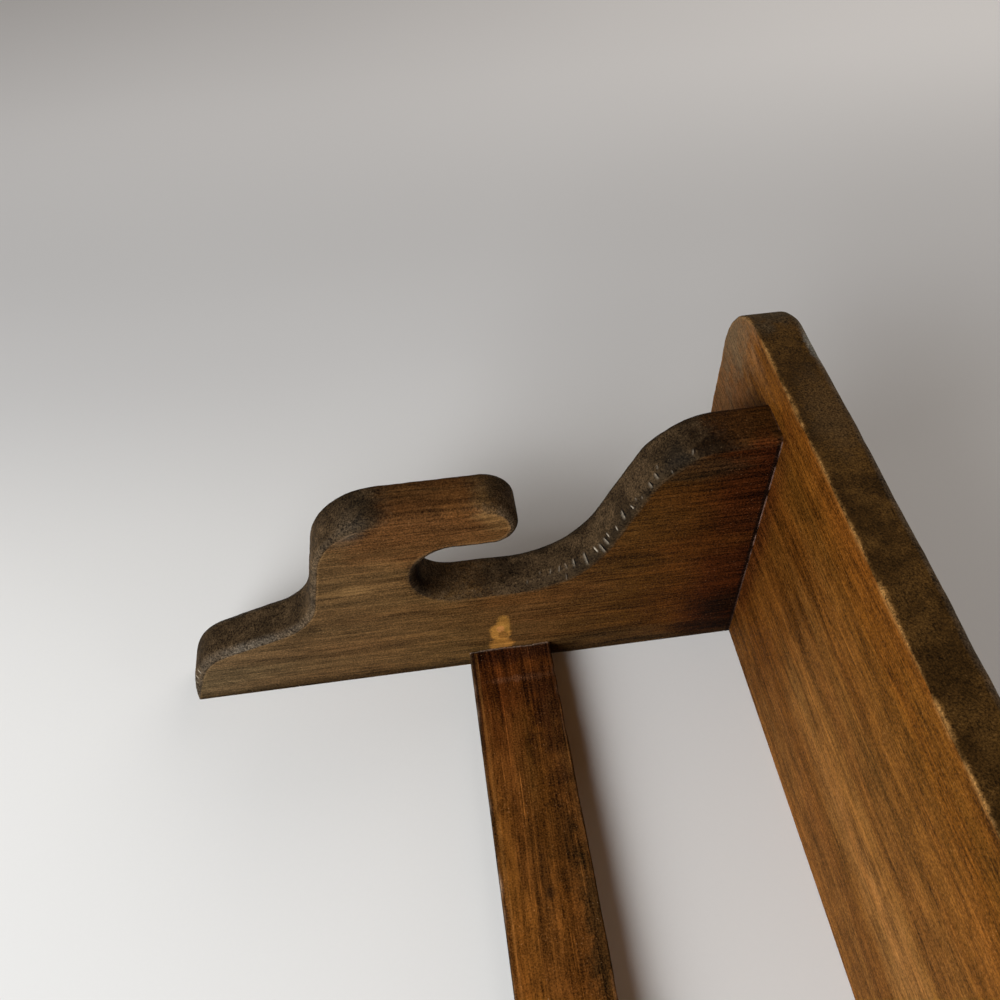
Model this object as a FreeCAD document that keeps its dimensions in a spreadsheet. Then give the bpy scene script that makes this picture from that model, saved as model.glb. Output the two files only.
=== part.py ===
import FreeCAD, Part
import math
import os

import Sketcher
from FreeCAD import Vector

# Wall shelf: one plank on two scroll-cut hook brackets, tied by a flat rail and hung from keyhole plates.
# Frame in millimetres: X along the wall, Y into the wall with the wall plane at 0, Z up.
# The origin lies on the wall plane, midway between the entry holes of the two hanger plates.

# Driving sizes: name, value and what it sets.
SIZES = [
    ("shelf_length", 610, "length of the shelf board along the wall"),
    ("shelf_depth", 140, "depth of the shelf board from the wall"),
    ("shelf_thickness", 19, "thickness of the shelf board"),
    ("shelf_corner_radius", 28, "rounding of the two front corners in plan"),
    ("shelf_top_round", 4, "rounding of the upper arris along the ends and the front"),
    ("shelf_lower_round", 0.8, "easing of the lower arris along the ends and the front"),
    ("end_overhang", 48.5, "shelf beyond the outer face of each bracket"),
    ("bracket_thickness", 19, "thickness of a bracket"),
    ("bracket_height", 235.5, "height of a bracket along the wall"),
    ("bracket_reach", 124.5, "depth of a bracket under the shelf"),
    ("scroll_round", 4, "round-over along the scroll-cut edge"),
    ("brow_flat", 20, "straight front of the bracket below the shelf"),
    ("brow_radius", 30, "convex top of the scroll"),
    ("scroll_angle", 64, "steepness of the straight stretch of the scroll"),
    ("cove_radius", 42, "concave foot of the scroll"),
    ("hook_floor", 54.4, "wall to the floor of the hook slot"),
    ("hook_gap", 29, "width of the hook slot"),
    ("hook_seat_drop", 119.9, "shelf to the centre of the round slot end"),
    ("horn_tip_drop", 94.5, "shelf to the tip of the horn"),
    ("horn_tip_front_radius", 13, "rounding of the tip on the room side"),
    ("horn_tip_back_radius", 10, "rounding of the tip on the slot side"),
    ("horn_flat", 36.8, "straight front of the horn"),
    ("horn_shoulder_radius", 30, "rounding below the front of the horn"),
    ("horn_lean", 11.3, "lean of the underside of the horn"),
    ("horn_underside", 23.6, "straight underside of the horn"),
    ("step_radius", 23, "concave step between the horn and the foot"),
    ("foot_nose_radius", 25, "rounding of the foot"),
    ("foot_nose_rise", 10, "square end of the foot at the wall"),
    ("rail_width", 35.2, "width of the rail up the wall"),
    ("rail_thickness", 10.6, "thickness of the rail"),
    ("rail_drop", 82.3, "shelf to the upper edge of the rail"),
    ("rail_round", 0.8, "easing of the two front edges of the rail"),
    ("shelf_screw_back", 32, "wall to the back pair of shelf screws"),
    ("shelf_screw_pitch", 62, "back pair to front pair of shelf screws"),
    ("shelf_screw_length", 38, "length of a shelf screw"),
    ("shelf_screw_diameter", 4.2, "diameter of a shelf screw"),
    ("shelf_screw_head", 8.2, "head diameter of a shelf screw"),
    ("shelf_screw_point", 6, "length of the point of a shelf screw"),
    ("plug_diameter", 9.5, "diameter of a plug"),
    ("plug_length", 6, "length of a plug"),
    ("nail_length", 40, "length of a rail nail below its head"),
    ("nail_diameter", 1.8, "diameter of a rail nail"),
    ("nail_head_diameter", 2.8, "head diameter of a rail nail"),
    ("nail_head_height", 1, "head height of a rail nail"),
    ("nail_set", 1, "depth of a nail head below the face of the bracket"),
    ("nail_point", 2.5, "length of the point of a rail nail"),
    ("nail_pitch", 18, "distance between the two nails of one rail end"),
    ("hanger_drop", 45, "shelf to the entry holes of the hanger plates"),
    ("plate_width", 14, "width of a hanger plate"),
    ("plate_length", 46, "length of a hanger plate"),
    ("plate_thickness", 1.6, "thickness of a hanger plate"),
    ("plate_lift", 4, "entry hole to the middle of the plate"),
    ("key_entry_diameter", 9, "entry hole for the head of a wall screw"),
    ("key_slot_width", 4.5, "slot for the shank of a wall screw"),
    ("key_slot_rise", 10, "entry hole to the top seat of the slot"),
    ("key_room_width", 11, "width of the room for the screw head behind the plate"),
    ("key_room_depth", 9, "depth of that room from the wall plane"),
    ("hanger_screw_margin", 5, "end of the plate to the centre of a hanger screw"),
    ("hanger_screw_length", 13, "length of a hanger screw"),
    ("hanger_screw_diameter", 2.9, "diameter of a hanger screw"),
    ("hanger_screw_head", 5.4, "head diameter of a hanger screw"),
    ("hanger_screw_point", 4, "length of the point of a hanger screw"),
    ("drive_width", 0.9, "width of one arm of the cross recess in a screw head"),
    ("drive_share", 0.55, "span of the cross recess as a share of the head"),
    ("drive_depth_share", 0.8, "depth of the cross recess as a share of the head height"),
    ("fit_clearance", 0.1, "clearance all round plugs, plates, screws and nails"),
]
HEAD_ANGLE = 90
QUARTER_TURN = 90
FULL_TURN = 360
TINY = 1e-6
FAILED_STATES = ("Invalid", "Error")

doc = FreeCAD.newDocument("WallShelf")
sheet = doc.addObject("Spreadsheet::Sheet", "Sizes")
size = {}
for row, (alias, value, note) in enumerate(SIZES, start=1):
    sheet.set("A%d" % row, alias)
    sheet.set("B%d" % row, str(value))
    sheet.setAlias("B%d" % row, alias)
    sheet.set("C%d" % row, note)
    size[alias] = float(value)
doc.recompute()


def cell(formula):
    """Write a formula of size names as an expression on the sheet."""
    words = formula.split()
    return " ".join("Sizes." + word if word in size else word for word in words)


def worth(formula):
    """Work out a formula of size names from the same values."""
    return float(sheet.evalExpression(cell(formula)))


def new_body(label, x="0", y="0", z="0"):
    """Start a piece, placed by formulas of the sizes."""
    body = doc.addObject("PartDesign::Body", label)
    body.Label = label
    for axis, formula in zip("xyz", (x, y, z)):
        body.setExpression("Placement.Base.%s" % axis, cell(formula))
    return body


def new_sketch(body, name, plane, offset=None):
    """Put a sketch on one of the body's own origin planes, lifted along its normal by a formula."""
    sketch = body.newObject("Sketcher::SketchObject", name)
    support = [item for item in body.Origin.OriginFeatures if item.Role == plane][0]
    sketch.AttachmentSupport = [(support, "")]
    sketch.MapMode = "FlatFace"
    if offset is not None:
        sketch.setExpression("AttachmentOffset.Base.z", cell(offset))
    doc.recompute()
    return sketch


def bind(sketch, name, formula, *constraint):
    """Add a measured constraint and tie it to the sheet."""
    kind, places = constraint[0], constraint[1:]
    value = worth(formula)
    if kind == "Angle":
        value = math.radians(value)
    index = sketch.addConstraint(Sketcher.Constraint(kind, *places, value))
    sketch.renameConstraint(index, name)
    sketch.setExpression("Constraints." + name, cell(formula))


class Outline:
    """Closed chain of lines and arcs in a sketch; each stretch begins where the last one ended."""

    def __init__(self, sketch):
        self.sketch = sketch
        self.index = {}
        self.begin = {}
        self.end = {}
        self.order = []

    def line(self, name, start, end):
        """Add a straight stretch."""
        self._add(name, Part.LineSegment(Vector(*start, 0), Vector(*end, 0)), 1, 2)

    def arc(self, name, centre, radius, first, last):
        """Add a round stretch between two angles in degrees; it runs clockwise if the last is smaller."""
        low, high = sorted((math.radians(first), math.radians(last)))
        circle = Part.Circle(Vector(*centre, 0), Vector(0, 0, 1), radius)
        ends = (1, 2) if last > first else (2, 1)
        self._add(name, Part.ArcOfCircle(circle, low, high), *ends)

    def _add(self, name, geometry, begin, end):
        self.index[name] = self.sketch.addGeometry(geometry, False)
        self.begin[name] = begin
        self.end[name] = end
        self.order.append(name)

    def join(self, sharp=()):
        """Close the chain: smooth joints everywhere but after the stretches named as sharp."""
        for name, after in zip(self.order, self.order[1:] + self.order[:1]):
            kind = "Coincident" if name in sharp else "Tangent"
            places = (self.index[name], self.end[name], self.index[after], self.begin[after])
            self.sketch.addConstraint(Sketcher.Constraint(kind, *places))

    def square(self, kind, names):
        """Set straight stretches level or upright."""
        for name in names:
            self.sketch.addConstraint(Sketcher.Constraint(kind, self.index[name]))

    def radii(self, formulas):
        """Tie round stretches to the sheet."""
        for name, formula in formulas.items():
            bind(self.sketch, name + "_radius", formula, "Radius", self.index[name])

    def start_point(self, name):
        """Geometry index and point of the beginning of a stretch."""
        return self.index[name], self.begin[name]

    def centre_on_origin(self, name):
        """Put the middle of a straight stretch on the origin of the sketch."""
        ends = (self.index[name], self.begin[name], self.index[name], self.end[name])
        self.sketch.addConstraint(Sketcher.Constraint("Symmetric", *ends, -1, 1))


def pad(body, sketch, length, middle=False, reverse=False):
    """Pad a sketch by a formula."""
    feature = body.newObject("PartDesign::Pad", sketch.Name + "_pad")
    feature.Profile = sketch
    feature.SideType = "Symmetric" if middle else "One side"
    feature.Reversed = reverse
    feature.setExpression("Length", cell(length))
    sketch.Visibility = False
    doc.recompute()
    return feature


def pocket(body, sketch, depth=None, reverse=False):
    """Cut a sketch to a depth, or right through both ways, and make sure that it removed wood."""
    before = body.Shape.Volume
    feature = body.newObject("PartDesign::Pocket", sketch.Name + "_cut")
    feature.Profile = sketch
    feature.Reversed = reverse
    if depth is None:
        feature.SideType = "Symmetric"
        feature.Type = "ThroughAll"
    else:
        feature.setExpression("Length", cell(depth))
    sketch.Visibility = False
    doc.recompute()
    if body.Shape.Volume > before - TINY:
        raise RuntimeError("%s removes nothing" % feature.Name)
    return feature


def place_point(sketch, name, point, across, up):
    """Fix a point by two formulas measured from the origin of the sketch; a plain 0 puts it on the axis."""
    for word, formula, kind, axis in (("across", across, "DistanceX", -2), ("up", up, "DistanceY", -1)):
        if formula == "0":
            sketch.addConstraint(Sketcher.Constraint("PointOnObject", *point, axis))
        else:
            bind(sketch, name + "_" + word, formula, kind, -1, 1, *point)


def circles(sketch, spots, diameter):
    """Draw equal circles, each placed by two formulas measured from the origin of the sketch."""
    for count, (across, up) in enumerate(spots):
        centre = Vector(worth(across), worth(up), 0)
        circle = Part.Circle(centre, Vector(0, 0, 1), worth(diameter) / 2)
        index = sketch.addGeometry(circle, False)
        bind(sketch, "diameter_%d" % count, diameter, "Diameter", index)
        place_point(sketch, "spot_%d" % count, (index, 3), across, up)


def round_ended(sketch, width, low, high):
    """Draw an upright slot with round ends, centred across, between two arc centres given as formulas."""
    half = worth(width) / 2
    bottom, top = worth(low), worth(high)
    outline = Outline(sketch)
    outline.line("right", (half, bottom), (half, top))
    outline.arc("top", (0, top), half, 0, 180)
    outline.line("left", (-half, top), (-half, bottom))
    outline.arc("bottom", (0, bottom), half, 180, 360)
    outline.join()
    outline.square("Vertical", ["right"])
    outline.radii({"top": "( " + width + " ) / 2"})
    for end, formula in (("top", high), ("bottom", low)):
        place_point(sketch, end + "_centre", (outline.index[end], 3), "0", formula)


def fillet(body, name, edges, radius):
    """Round some edges of the body's last feature by a formula."""
    last = body.Tip
    feature = body.newObject("PartDesign::Fillet", name)
    feature.Base = (last, edges)
    feature.setExpression("Radius", cell(radius))
    doc.recompute()
    return feature


def countersink(body, sketch, diameter, head, reverse=False):
    """Drill countersunk holes at the circles of a sketch."""
    doc.recompute()
    before = body.Shape.Volume
    hole = body.newObject("PartDesign::Hole", sketch.Name + "_hole")
    hole.Profile = sketch
    hole.ThreadType = "None"
    hole.HoleCutType = "Countersink"
    hole.HoleCutCustomValues = True
    hole.HoleCutCountersinkAngle = HEAD_ANGLE
    hole.DrillPoint = "Flat"
    hole.DepthType = "ThroughAll"
    hole.Reversed = reverse
    hole.setExpression("Diameter", cell(diameter))
    hole.setExpression("HoleCutDiameter", cell(head))
    sketch.Visibility = False
    doc.recompute()
    if body.Shape.Volume > before - TINY:
        raise RuntimeError("%s removes nothing" % hole.Name)
    return hole


# Bracket: scroll outline in the upright plane, seen with the wall at 0 and the shelf's underside at 0.
def scroll_outline(sketch):
    """Draw the bracket's outline: back, foot, step, horn, hook slot, scroll and front, in that order."""
    nose, step = size["foot_nose_radius"], size["step_radius"]
    shoulder, cove = size["horn_shoulder_radius"], size["cove_radius"]
    tip_front, tip_back = size["horn_tip_front_radius"], size["horn_tip_back_radius"]
    seat, brow = size["hook_gap"] / 2, size["brow_radius"]
    lean, scroll = math.radians(size["horn_lean"]), math.radians(size["scroll_angle"])
    height, reach = size["bracket_height"], size["bracket_reach"]

    # Hook slot and horn, from the floor of the slot out to the room.
    floor = -size["hook_floor"]
    roof = floor - 2 * seat
    front = roof - tip_back - tip_front
    tip = -size["horn_tip_drop"]
    tip_front_centre = (front + tip_front, tip - tip_front)
    tip_back_centre = (roof - tip_back, tip - tip_back)
    seat_centre = (floor - seat, -size["hook_seat_drop"])
    flat_low = tip_front_centre[1] - size["horn_flat"]
    shoulder_centre = (front + shoulder, flat_low)
    lean_top = (
        shoulder_centre[0] - shoulder * math.sin(lean),
        shoulder_centre[1] - shoulder * math.cos(lean),
    )

    # Step and foot: an arc at the end of the underside, a round nose, and a slope that touches both.
    underside = size["horn_underside"]
    step_top = (lean_top[0] + underside * math.cos(lean), lean_top[1] - underside * math.sin(lean))
    step_centre = (step_top[0] - step * math.sin(lean), step_top[1] - step * math.cos(lean))
    foot_end = (-size["foot_nose_rise"], -height)
    nose_centre = (foot_end[0], nose - height)
    across, down = nose_centre[0] - step_centre[0], nose_centre[1] - step_centre[1]
    slope = math.atan2(down, across) + math.acos((step + nose) / math.hypot(across, down))
    step_low = (step_centre[0] + step * math.cos(slope), step_centre[1] + step * math.sin(slope))
    nose_top = (nose_centre[0] - nose * math.cos(slope), nose_centre[1] - nose * math.sin(slope))

    # Scroll: concave from the slot floor, straight, then convex up to the flat front.
    brow_centre = (brow - reach, -size["brow_flat"])
    brow_low = (
        brow_centre[0] - brow * math.cos(scroll),
        brow_centre[1] - brow * math.sin(scroll),
    )
    cove_x = floor - cove
    rise = cove_x + cove * math.cos(scroll) - brow_low[0]
    cove_high = (brow_low[0] + rise, brow_low[1] - rise / math.tan(scroll))
    cove_centre = (cove_x, cove_high[1] - cove * math.sin(scroll))

    foot_deg, lean_deg, scroll_deg = math.degrees(slope), size["horn_lean"], size["scroll_angle"]
    outline = Outline(sketch)
    outline.line("back", (0, 0), (0, -height))
    outline.line("foot", (0, -height), foot_end)
    outline.arc("nose", nose_centre, nose, 270, 180 + foot_deg)
    outline.line("slope", nose_top, step_low)
    outline.arc("step", step_centre, step, foot_deg, 90 - lean_deg)
    outline.line("underside", step_top, lean_top)
    outline.arc("shoulder", shoulder_centre, shoulder, 270 - lean_deg, 180)
    outline.line("front", (front, flat_low), (front, tip_front_centre[1]))
    outline.arc("tip_front", tip_front_centre, tip_front, 180, 90)
    outline.arc("tip_back", tip_back_centre, tip_back, 90, 0)
    outline.line("roof", (roof, tip_back_centre[1]), (roof, seat_centre[1]))
    outline.arc("seat", seat_centre, seat, 180, 360)
    outline.line("floor", (floor, seat_centre[1]), (floor, cove_centre[1]))
    outline.arc("cove", cove_centre, cove, 0, scroll_deg)
    outline.line("scroll", cove_high, brow_low)
    outline.arc("brow", brow_centre, brow, 180 + scroll_deg, 180)
    outline.line("brow_flat", (-reach, brow_centre[1]), (-reach, 0))
    outline.line("top", (-reach, 0), (0, 0))
    outline.join(sharp=("back", "brow_flat", "top"))
    outline.square("Vertical", ["back", "front", "roof", "floor", "brow_flat"])
    outline.square("Horizontal", ["foot", "top"])
    sketch.addConstraint(Sketcher.Constraint("Coincident", *outline.start_point("back"), -1, 1))
    tips = (outline.index["tip_front"], 3, outline.index["tip_back"], 3)
    sketch.addConstraint(Sketcher.Constraint("Vertical", *tips))
    outline.radii(
        {
            "nose": "foot_nose_radius",
            "step": "step_radius",
            "shoulder": "horn_shoulder_radius",
            "tip_front": "horn_tip_front_radius",
            "tip_back": "horn_tip_back_radius",
            "seat": "hook_gap / 2",
            "cove": "cove_radius",
            "brow": "brow_radius",
        }
    )
    for name, formula in (
        ("back", "bracket_height"),
        ("foot", "foot_nose_rise"),
        ("underside", "horn_underside"),
        ("front", "horn_flat"),
        ("brow_flat", "brow_flat"),
        ("top", "bracket_reach"),
    ):
        bind(sketch, name + "_length", formula, "Distance", outline.index[name])
    bind(sketch, "tip_drop", "horn_tip_drop", "DistanceY", *outline.start_point("tip_back"), -1, 1)
    bind(sketch, "seat_drop", "hook_seat_drop", "DistanceY", outline.index["seat"], 3, -1, 1)
    bind(sketch, "floor_reach", "hook_floor", "DistanceX", *outline.start_point("floor"), -1, 1)
    bind(sketch, "horn_slope", "180 - horn_lean", "Angle", outline.index["underside"])
    bind(sketch, "scroll_slope", "90 + scroll_angle", "Angle", outline.index["scroll"])
    doc.recompute()


def scroll_edges(shape):
    """Names of the edges on both faces of a bracket that follow the scroll cut."""
    half = size["bracket_thickness"] / 2
    names = []
    for number, edge in enumerate(shape.Edges, start=1):
        ends = [vertex.Point for vertex in edge.Vertexes]
        on_face = all(abs(abs(point.x) - half) < TINY for point in ends)
        one_side = max(point.x for point in ends) - min(point.x for point in ends) < TINY
        at_wall = all(abs(point.y) < TINY for point in ends)
        at_shelf = all(abs(point.z) < TINY for point in ends)
        if on_face and one_side and not at_wall and not at_shelf:
            names.append("Edge%d" % number)
    return names


BRACKET_X = "( shelf_length / 2 - end_overhang - bracket_thickness / 2 )"
RAIL_MIDDLE = "( rail_drop + rail_width / 2 )"
PLATE_MIDDLE = "( plate_lift - hanger_drop )"
HANGER_REACH = "( plate_length / 2 - hanger_screw_margin )"
SIDES = (("left", -1), ("right", 1))
PAIR = (("lower", -1), ("upper", 1))
DEPTHS = (("back", "shelf_screw_back"), ("front", "( shelf_screw_back + shelf_screw_pitch )"))

for side, sign in SIDES:
    bracket = new_body(side + "_bracket", "%d * %s" % (sign, BRACKET_X), "0", "hanger_drop")
    profile = new_sketch(bracket, side + "_scroll", "YZ_Plane")
    scroll_outline(profile)
    blank = pad(bracket, profile, "bracket_thickness", middle=True)
    fillet(bracket, side + "_scroll_round", scroll_edges(blank.Shape), "scroll_round")

    # Pilot holes for the shelf screws, from the upper end.
    pilots = new_sketch(bracket, side + "_shelf_pilots", "XY_Plane")
    spots = [("0", "0 - " + depth) for _, depth in DEPTHS]
    circles(pilots, spots, "( shelf_screw_diameter + 2 * fit_clearance )")
    pocket(bracket, pilots, "shelf_screw_length - shelf_thickness + plug_length + fit_clearance")

    # Nail holes for the rail, and the wider holes in the outer face for the nail heads.
    nail_spots = [
        ("0 - rail_thickness / 2", "0 - %s + %d * nail_pitch / 2" % (RAIL_MIDDLE, place)) for _, place in PAIR
    ]
    nails = new_sketch(bracket, side + "_nail_holes", "YZ_Plane")
    circles(nails, nail_spots, "( nail_diameter + 2 * fit_clearance )")
    pocket(bracket, nails)
    heads = new_sketch(bracket, side + "_nail_heads", "YZ_Plane", "%d * bracket_thickness / 2" % sign)
    circles(heads, nail_spots, "( nail_head_diameter + 2 * fit_clearance )")
    pocket(bracket, heads, "nail_set + nail_head_height", reverse=sign < 0)

    # Recess for the hanger plate, room behind it for the head of a wall screw, and its two pilot holes.
    recess = new_sketch(bracket, side + "_plate_recess", "XZ_Plane")
    straight = "( plate_length - plate_width ) / 2"
    round_ended(
        recess,
        "( plate_width + 2 * fit_clearance )",
        "%s - %s" % (PLATE_MIDDLE, straight),
        "%s + %s" % (PLATE_MIDDLE, straight),
    )
    pocket(bracket, recess, "plate_thickness", reverse=True)
    room = new_sketch(bracket, side + "_head_room", "XZ_Plane")
    round_ended(room, "key_room_width", "0 - hanger_drop", "key_slot_rise - hanger_drop")
    pocket(bracket, room, "key_room_depth", reverse=True)
    plate_pilots = new_sketch(bracket, side + "_plate_pilots", "XZ_Plane")
    spots = [("0", "%s + %d * %s" % (PLATE_MIDDLE, place, HANGER_REACH)) for _, place in PAIR]
    circles(plate_pilots, spots, "( hanger_screw_diameter + 2 * fit_clearance )")
    pocket(bracket, plate_pilots, "hanger_screw_length + fit_clearance", reverse=True)


# Shelf board: plan outline with two round front corners, lying on the brackets.
shelf = new_body("shelf_board", "0", "0", "hanger_drop")
plan = new_sketch(shelf, "shelf_plan", "XY_Plane")
half_length, depth, corner_radius = size["shelf_length"] / 2, size["shelf_depth"], size["shelf_corner_radius"]
board = Outline(plan)
board.line("wall", (half_length, 0), (-half_length, 0))
board.line("left", (-half_length, 0), (-half_length, corner_radius - depth))
board.arc("left_corner", (corner_radius - half_length, corner_radius - depth), corner_radius, 180, 270)
board.line("front", (corner_radius - half_length, -depth), (half_length - corner_radius, -depth))
board.arc("right_corner", (half_length - corner_radius, corner_radius - depth), corner_radius, 270, 360)
board.line("right", (half_length, corner_radius - depth), (half_length, 0))
board.join(sharp=("wall", "right"))
board.square("Horizontal", ["wall", "front"])
board.square("Vertical", ["left", "right"])
board.radii({"left_corner": "shelf_corner_radius", "right_corner": "shelf_corner_radius"})
board.centre_on_origin("wall")
bind(plan, "length", "shelf_length", "Distance", board.index["wall"])
bind(plan, "depth", "shelf_depth", "DistanceY", *board.start_point("front"), -1, 1)
plank = pad(shelf, plan, "shelf_thickness")


def arris(shape, level):
    """Names of the edges round the ends and front of the board at one height."""
    names = []
    for number, edge in enumerate(shape.Edges, start=1):
        ends = [vertex.Point for vertex in edge.Vertexes]
        at_level = all(abs(point.z - level) < TINY for point in ends)
        at_wall = all(abs(point.y) < TINY for point in ends)
        if at_level and not at_wall:
            names.append("Edge%d" % number)
    return names


fillet(shelf, "shelf_top_arris", arris(plank.Shape, size["shelf_thickness"]), "shelf_top_round")
fillet(shelf, "shelf_lower_arris", arris(shelf.Tip.Shape, 0), "shelf_lower_round")
over_brackets = [("%d * %s" % (sign, BRACKET_X), "0 - " + far) for _, sign in SIDES for _, far in DEPTHS]
bores = new_sketch(shelf, "shelf_plug_bores", "XY_Plane", "shelf_thickness")
circles(bores, over_brackets, "( plug_diameter + 2 * fit_clearance )")
pocket(shelf, bores, "plug_length")
seats = new_sketch(shelf, "shelf_screw_seats", "XY_Plane", "shelf_thickness - plug_length")
circles(seats, over_brackets, "shelf_screw_diameter")
countersink(shelf, seats, "shelf_screw_diameter + 2 * fit_clearance", "shelf_screw_head")


# Back rail: flat board on the wall plane between the inner faces of the brackets.
rail = new_body("back_rail", "0", "0", "hanger_drop - " + RAIL_MIDDLE)
section = new_sketch(rail, "rail_section", "YZ_Plane")
half_width, thickness = size["rail_width"] / 2, size["rail_thickness"]
strip = Outline(section)
strip.line("wall", (0, half_width), (0, -half_width))
strip.line("lower", (0, -half_width), (-thickness, -half_width))
strip.line("front", (-thickness, -half_width), (-thickness, half_width))
strip.line("upper", (-thickness, half_width), (0, half_width))
strip.join(sharp=("wall", "lower", "front", "upper"))
strip.square("Vertical", ["wall", "front"])
strip.square("Horizontal", ["lower", "upper"])
strip.centre_on_origin("wall")
bind(section, "width", "rail_width", "Distance", strip.index["wall"])
bind(section, "thickness", "rail_thickness", "Distance", strip.index["lower"])
RAIL_LENGTH = "( 2 * %s - bracket_thickness )" % BRACKET_X
bar = pad(rail, section, RAIL_LENGTH, middle=True)
front_edges = []
for number, edge in enumerate(bar.Shape.Edges, start=1):
    ends = [vertex.Point for vertex in edge.Vertexes]
    at_front = all(abs(point.y + thickness) < TINY for point in ends)
    lengthwise = abs(ends[0].x - ends[1].x) > thickness
    if at_front and lengthwise:
        front_edges.append("Edge%d" % number)
fillet(rail, "rail_arris", front_edges, "rail_round")
NAIL_IN_RAIL = "( nail_length + nail_set + nail_head_height - bracket_thickness )"
for side, sign in SIDES:
    end_holes = new_sketch(rail, side + "_end_holes", "YZ_Plane", "%d * %s / 2" % (sign, RAIL_LENGTH))
    spots = [("0 - rail_thickness / 2", "%d * nail_pitch / 2" % place) for _, place in PAIR]
    circles(end_holes, spots, "( nail_diameter + 2 * fit_clearance )")
    pocket(rail, end_holes, NAIL_IN_RAIL + " + fit_clearance", reverse=sign < 0)


def turned(body, name, points):
    """Turn a half section about the piece's own Z axis, its corners given as radius and height."""
    sketch = new_sketch(body, name + "_section", "XZ_Plane")
    spots = [(worth(radius), worth(height)) for radius, height in points]
    outline = Outline(sketch)
    for number, (start, end) in enumerate(zip(spots, spots[1:] + spots[:1])):
        outline.line("side_%d" % number, start, end)
    outline.join(sharp=tuple(outline.order))
    for number, (radius, height) in enumerate(points):
        place_point(sketch, "corner_%d" % number, outline.start_point("side_%d" % number), radius, height)
    feature = body.newObject("PartDesign::Revolution", name + "_turned")
    feature.Profile = sketch
    feature.ReferenceAxis = (sketch, ["V_Axis"])
    feature.Angle = FULL_TURN
    sketch.Visibility = False
    doc.recompute()
    return feature


def wood_screw(label, prefix, place):
    """Countersunk wood screw along its own Z axis, its head at the top and level with the piece's origin."""
    body = new_body(label, *place)
    half, head = prefix + "_diameter / 2", prefix + "_head / 2"
    cone = "( %s - %s )" % (head, half)
    length, point = prefix + "_length", prefix + "_point"
    points = [
        ("0", "0"),
        ("0", "0 - " + length),
        (half, "%s - %s" % (point, length)),
        (half, "0 - " + cone),
        (head, "0"),
    ]
    turned(body, label, points)
    for number, (wide, tall) in enumerate((("span", "drive_width"), ("drive_width", "span"))):
        arm = new_sketch(body, "%s_drive_%d" % (label, number), "XY_Plane")
        sizes = [prefix + "_head * drive_share" if name == "span" else name for name in (wide, tall)]
        half_wide, half_tall = worth(sizes[0]) / 2, worth(sizes[1]) / 2
        cross = Outline(arm)
        cross.line("lower", (-half_wide, -half_tall), (half_wide, -half_tall))
        cross.line("right", (half_wide, -half_tall), (half_wide, half_tall))
        cross.line("upper", (half_wide, half_tall), (-half_wide, half_tall))
        cross.line("left", (-half_wide, half_tall), (-half_wide, -half_tall))
        cross.join(sharp=("lower", "right", "upper", "left"))
        cross.square("Horizontal", ["lower", "upper"])
        cross.square("Vertical", ["right", "left"])
        opposite = (*cross.start_point("lower"), *cross.start_point("upper"), -1, 1)
        arm.addConstraint(Sketcher.Constraint("Symmetric", *opposite))
        bind(arm, "wide", sizes[0], "Distance", cross.index["lower"])
        bind(arm, "tall", sizes[1], "Distance", cross.index["right"])
        pocket(body, arm, cone + " * drive_depth_share")
    return body


def aim(body, axis, angle):
    """Turn a piece about its own origin."""
    body.Placement.Rotation = FreeCAD.Rotation(axis, angle)


for side, sign in SIDES:
    x = "%d * %s" % (sign, BRACKET_X)

    # Shelf screws and the plugs above them.
    for place, far in DEPTHS:
        sunk = "hanger_drop + shelf_thickness - plug_length"
        wood_screw("shelf_screw_%s_%s" % (side, place), "shelf_screw", (x, "0 - " + far, sunk))
        plug = new_body("shelf_plug_%s_%s" % (side, place), x, "0 - " + far, sunk)
        face = new_sketch(plug, plug.Name + "_face", "XY_Plane")
        circles(face, [("0", "0")], "plug_diameter")
        pad(plug, face, "plug_length")

    # Nails through the bracket into the end of the rail.
    for place, step in PAIR:
        head_x = "%d * ( shelf_length / 2 - end_overhang - nail_set )" % sign
        up = "hanger_drop - %s + %d * nail_pitch / 2" % (RAIL_MIDDLE, step)
        nail = new_body("rail_nail_%s_%s" % (side, place), head_x, "0 - rail_thickness / 2", up)
        shank, under = "nail_diameter / 2", "0 - nail_head_height"
        tip = "0 - nail_length - nail_head_height"
        turned(
            nail,
            nail.Name,
            [
                ("0", "0"),
                ("0", tip),
                (shank, tip + " + nail_point"),
                (shank, under),
                ("nail_head_diameter / 2", under),
                ("nail_head_diameter / 2", "0"),
            ],
        )
        aim(nail, Vector(0, 1, 0), sign * QUARTER_TURN)

    # Keyhole hanger plate, flush with the wall plane.
    plate = new_body("hanger_plate_" + side, x, "0", "0")
    blank = new_sketch(plate, plate.Name + "_blank", "XZ_Plane")
    straight = "( plate_length - plate_width ) / 2"
    round_ended(blank, "plate_width", "plate_lift - " + straight, "plate_lift + " + straight)
    pad(plate, blank, "plate_thickness")
    entry = new_sketch(plate, plate.Name + "_entry", "XZ_Plane")
    circles(entry, [("0", "0")], "key_entry_diameter")
    pocket(plate, entry)
    slot = new_sketch(plate, plate.Name + "_slot", "XZ_Plane")
    round_ended(slot, "key_slot_width", "0", "key_slot_rise")
    pocket(plate, slot)
    seats = new_sketch(plate, plate.Name + "_screw_seats", "XZ_Plane")
    spots = [("0", "plate_lift + %d * %s" % (step, HANGER_REACH)) for _, step in PAIR]
    circles(seats, spots, "hanger_screw_diameter")
    countersink(plate, seats, "hanger_screw_diameter + 2 * fit_clearance", "hanger_screw_head", reverse=True)

    # Its two screws, driven from the wall side.
    for place, step in PAIR:
        up = "plate_lift + %d * %s" % (step, HANGER_REACH)
        screw = wood_screw("hanger_screw_%s_%s" % (side, place), "hanger_screw", (x, "0", up))
        aim(screw, Vector(1, 0, 0), -QUARTER_TURN)


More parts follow.
